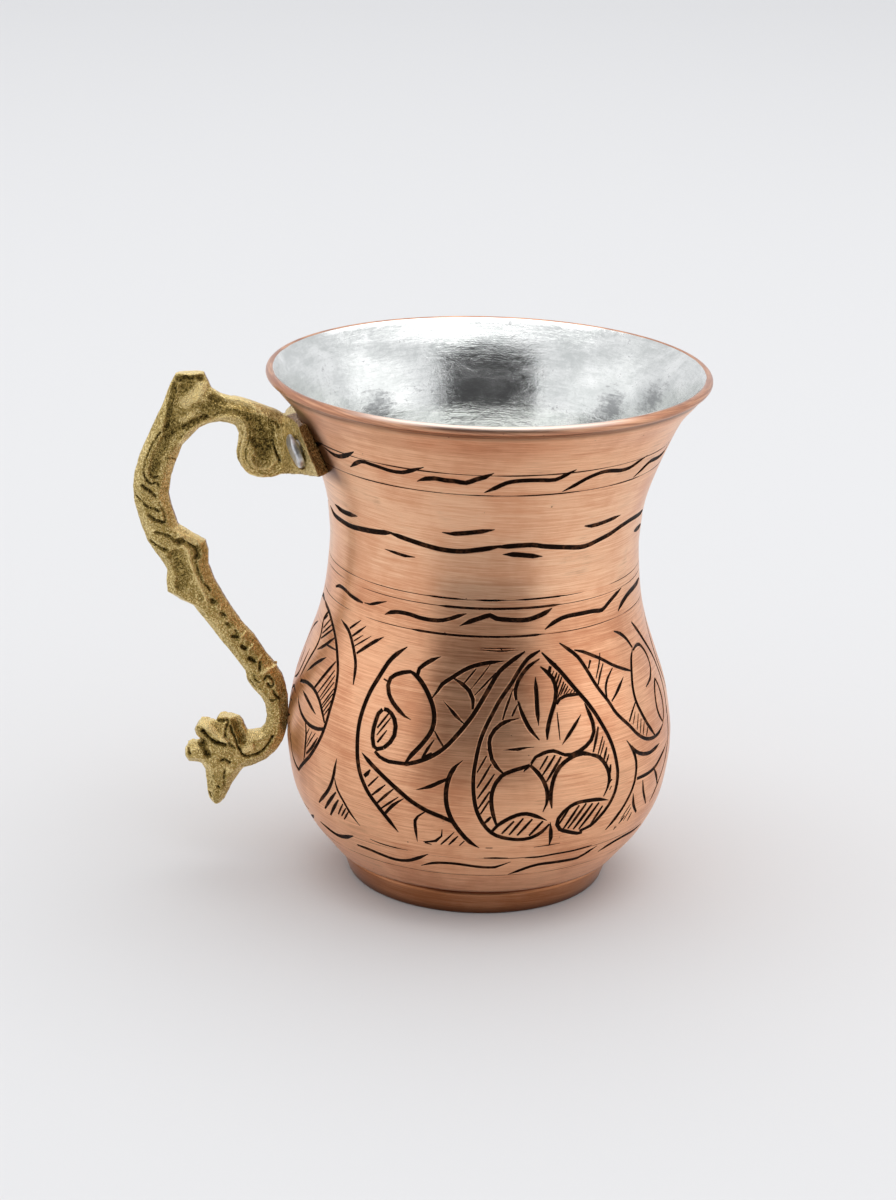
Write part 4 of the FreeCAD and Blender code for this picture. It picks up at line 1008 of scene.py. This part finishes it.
aluminium = rivetMaterial()
for seed, (node, name) in enumerate((("front_rivet", "dressed_rivet"), ("back_rivet", "dressed_rivet_back"))):
    dressed = dressRivet(node, name, 10 * seed)
    giveMaterial(dressed, aluminium)
    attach(dressed, "root")
    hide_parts(node)
print("fittings done")


# Studio: pale floor, a soft box above and at each side, a narrow strip, and dark cards for the metal
# to mirror.
studio = {
    "floorColour": (0.7, 0.7, 0.695, 1),
    "worldColour": (0.95, 0.96, 1.0, 1),
    "worldStrength": 0.92,
    "aimHeight": 0.05,
    "topBox": {"place": (0.1, 0.2, 1.3), "size": (1.5, 1.5), "power": 7.6},
    "leftBox": {"place": (-1.2, -0.1, 0.5), "size": (1.2, 1.0), "power": 1.05},
    "rightBox": {"place": (1.25, -0.2, 0.5), "size": (1.1, 1.0), "power": 1.6},
    "leftStrip": {"place": (-0.6, -0.66, 0.4), "size": (0.12, 0.8), "power": 0.1},
    "cardReach": 0.7,
    "cardSpread": 0.72,
    "cardTop": 1.14,
    "cardNear": 0.17,
    "uprightColour": (0.075, 0.073, 0.075, 1),
    "lyingColour": (0.2, 0.2, 0.2, 1),
}


def plainMaterial(name, colour, roughness):
    return setSurface(newMaterial(name)[0], {
        "Base Color": colour, "Roughness": roughness, "Specular IOR Level": 0.2})


def panel(name, width, height, material):
    shape = bmesh.new()
    bmesh.ops.create_grid(shape, x_segments=1, y_segments=1, size=0.5)
    bmesh.ops.scale(shape, vec=(width, height, 1), verts=shape.verts)
    mesh = bpy.data.meshes.new(name)
    shape.to_mesh(mesh)
    shape.free()
    mesh.materials.append(material)
    return newObject(name, mesh)


def softBox(name, place, size, power):
    light = bpy.data.lights.new(name, "AREA")
    light.shape = "RECTANGLE"
    light.size, light.size_y = size
    light.energy = power
    made = newObject(name, light)
    made.location = place
    made.visible_camera = False
    aim = Vector((0, 0, studio["aimHeight"])) - Vector(place)
    made.rotation_euler = aim.to_track_quat("-Z", "Y").to_euler()
    return made


def darkCards():
    # The dark front of the room: seen only by mirroring metal, not by the camera or the cloth
    reach, near = studio["cardReach"], studio["cardNear"]
    wide = 2 * reach * studio["cardSpread"]
    upright = panel("upright card", wide, studio["cardTop"],
                    plainMaterial("dark card", studio["uprightColour"], 0.9))
    upright.data.transform(Matrix.Rotation(math.pi / 2, 4, "X"))
    upright.data.transform(Matrix.Translation((0, -reach, studio["cardTop"] / 2)))
    lying = panel("lying card", wide, reach - near, plainMaterial("grey card", studio["lyingColour"], 0.9))
    lying.data.transform(Matrix.Translation((0, -(reach + near) / 2, 0.002)))
    for vertex in lying.data.vertices:
        if vertex.co.y > -reach + 0.01:
            vertex.co.x *= near / reach
    for made in (upright, lying):
        made.visible_camera = False
        made.visible_diffuse = False
        made.visible_shadow = False


floor = panel("floor", 8, 8, plainMaterial("pale cloth", studio["floorColour"], 0.9))
darkCards()
for name in ("topBox", "leftBox", "rightBox", "leftStrip"):
    softBox(name, **studio[name])

world = bpy.data.worlds.new("studio")
bpy.context.scene.world = world
world.use_nodes = True
world.node_tree.nodes["Background"].inputs["Color"].default_value = studio["worldColour"]
world.node_tree.nodes["Background"].inputs["Strength"].default_value = studio["worldStrength"]

# Camera: stands where the photograph was taken from, in metres and degrees.
photograph = {
    "lens": 98.52,
    "sensorWidth": 36,
    "nearest": 0.01,
    "tilt": 18.547,
    "roll": 1.5265,
    "place": (-0.006591, -0.5945, 0.25363),
}
camera = bpy.data.cameras.new("camera")
camera.lens = photograph["lens"]
camera.sensor_width = photograph["sensorWidth"]
camera.clip_start = photograph["nearest"]
view = newObject("camera", camera)
tilt, roll = math.radians(photograph["tilt"]), math.radians(photograph["roll"])
back = Vector((0, -math.cos(tilt), math.sin(tilt)))
right = Vector((1, 0, 0))
up = right.cross(-back)
turnedRight = right * math.cos(roll) + up * math.sin(roll)
turnedUp = up * math.cos(roll) - right * math.sin(roll)
view.matrix_world = Matrix.Translation(photograph["place"]) @ Matrix(
    (turnedRight, turnedUp, back)).transposed().to_4x4()
bpy.context.scene.camera = view
bpy.context.scene.view_settings.view_transform = "Standard"
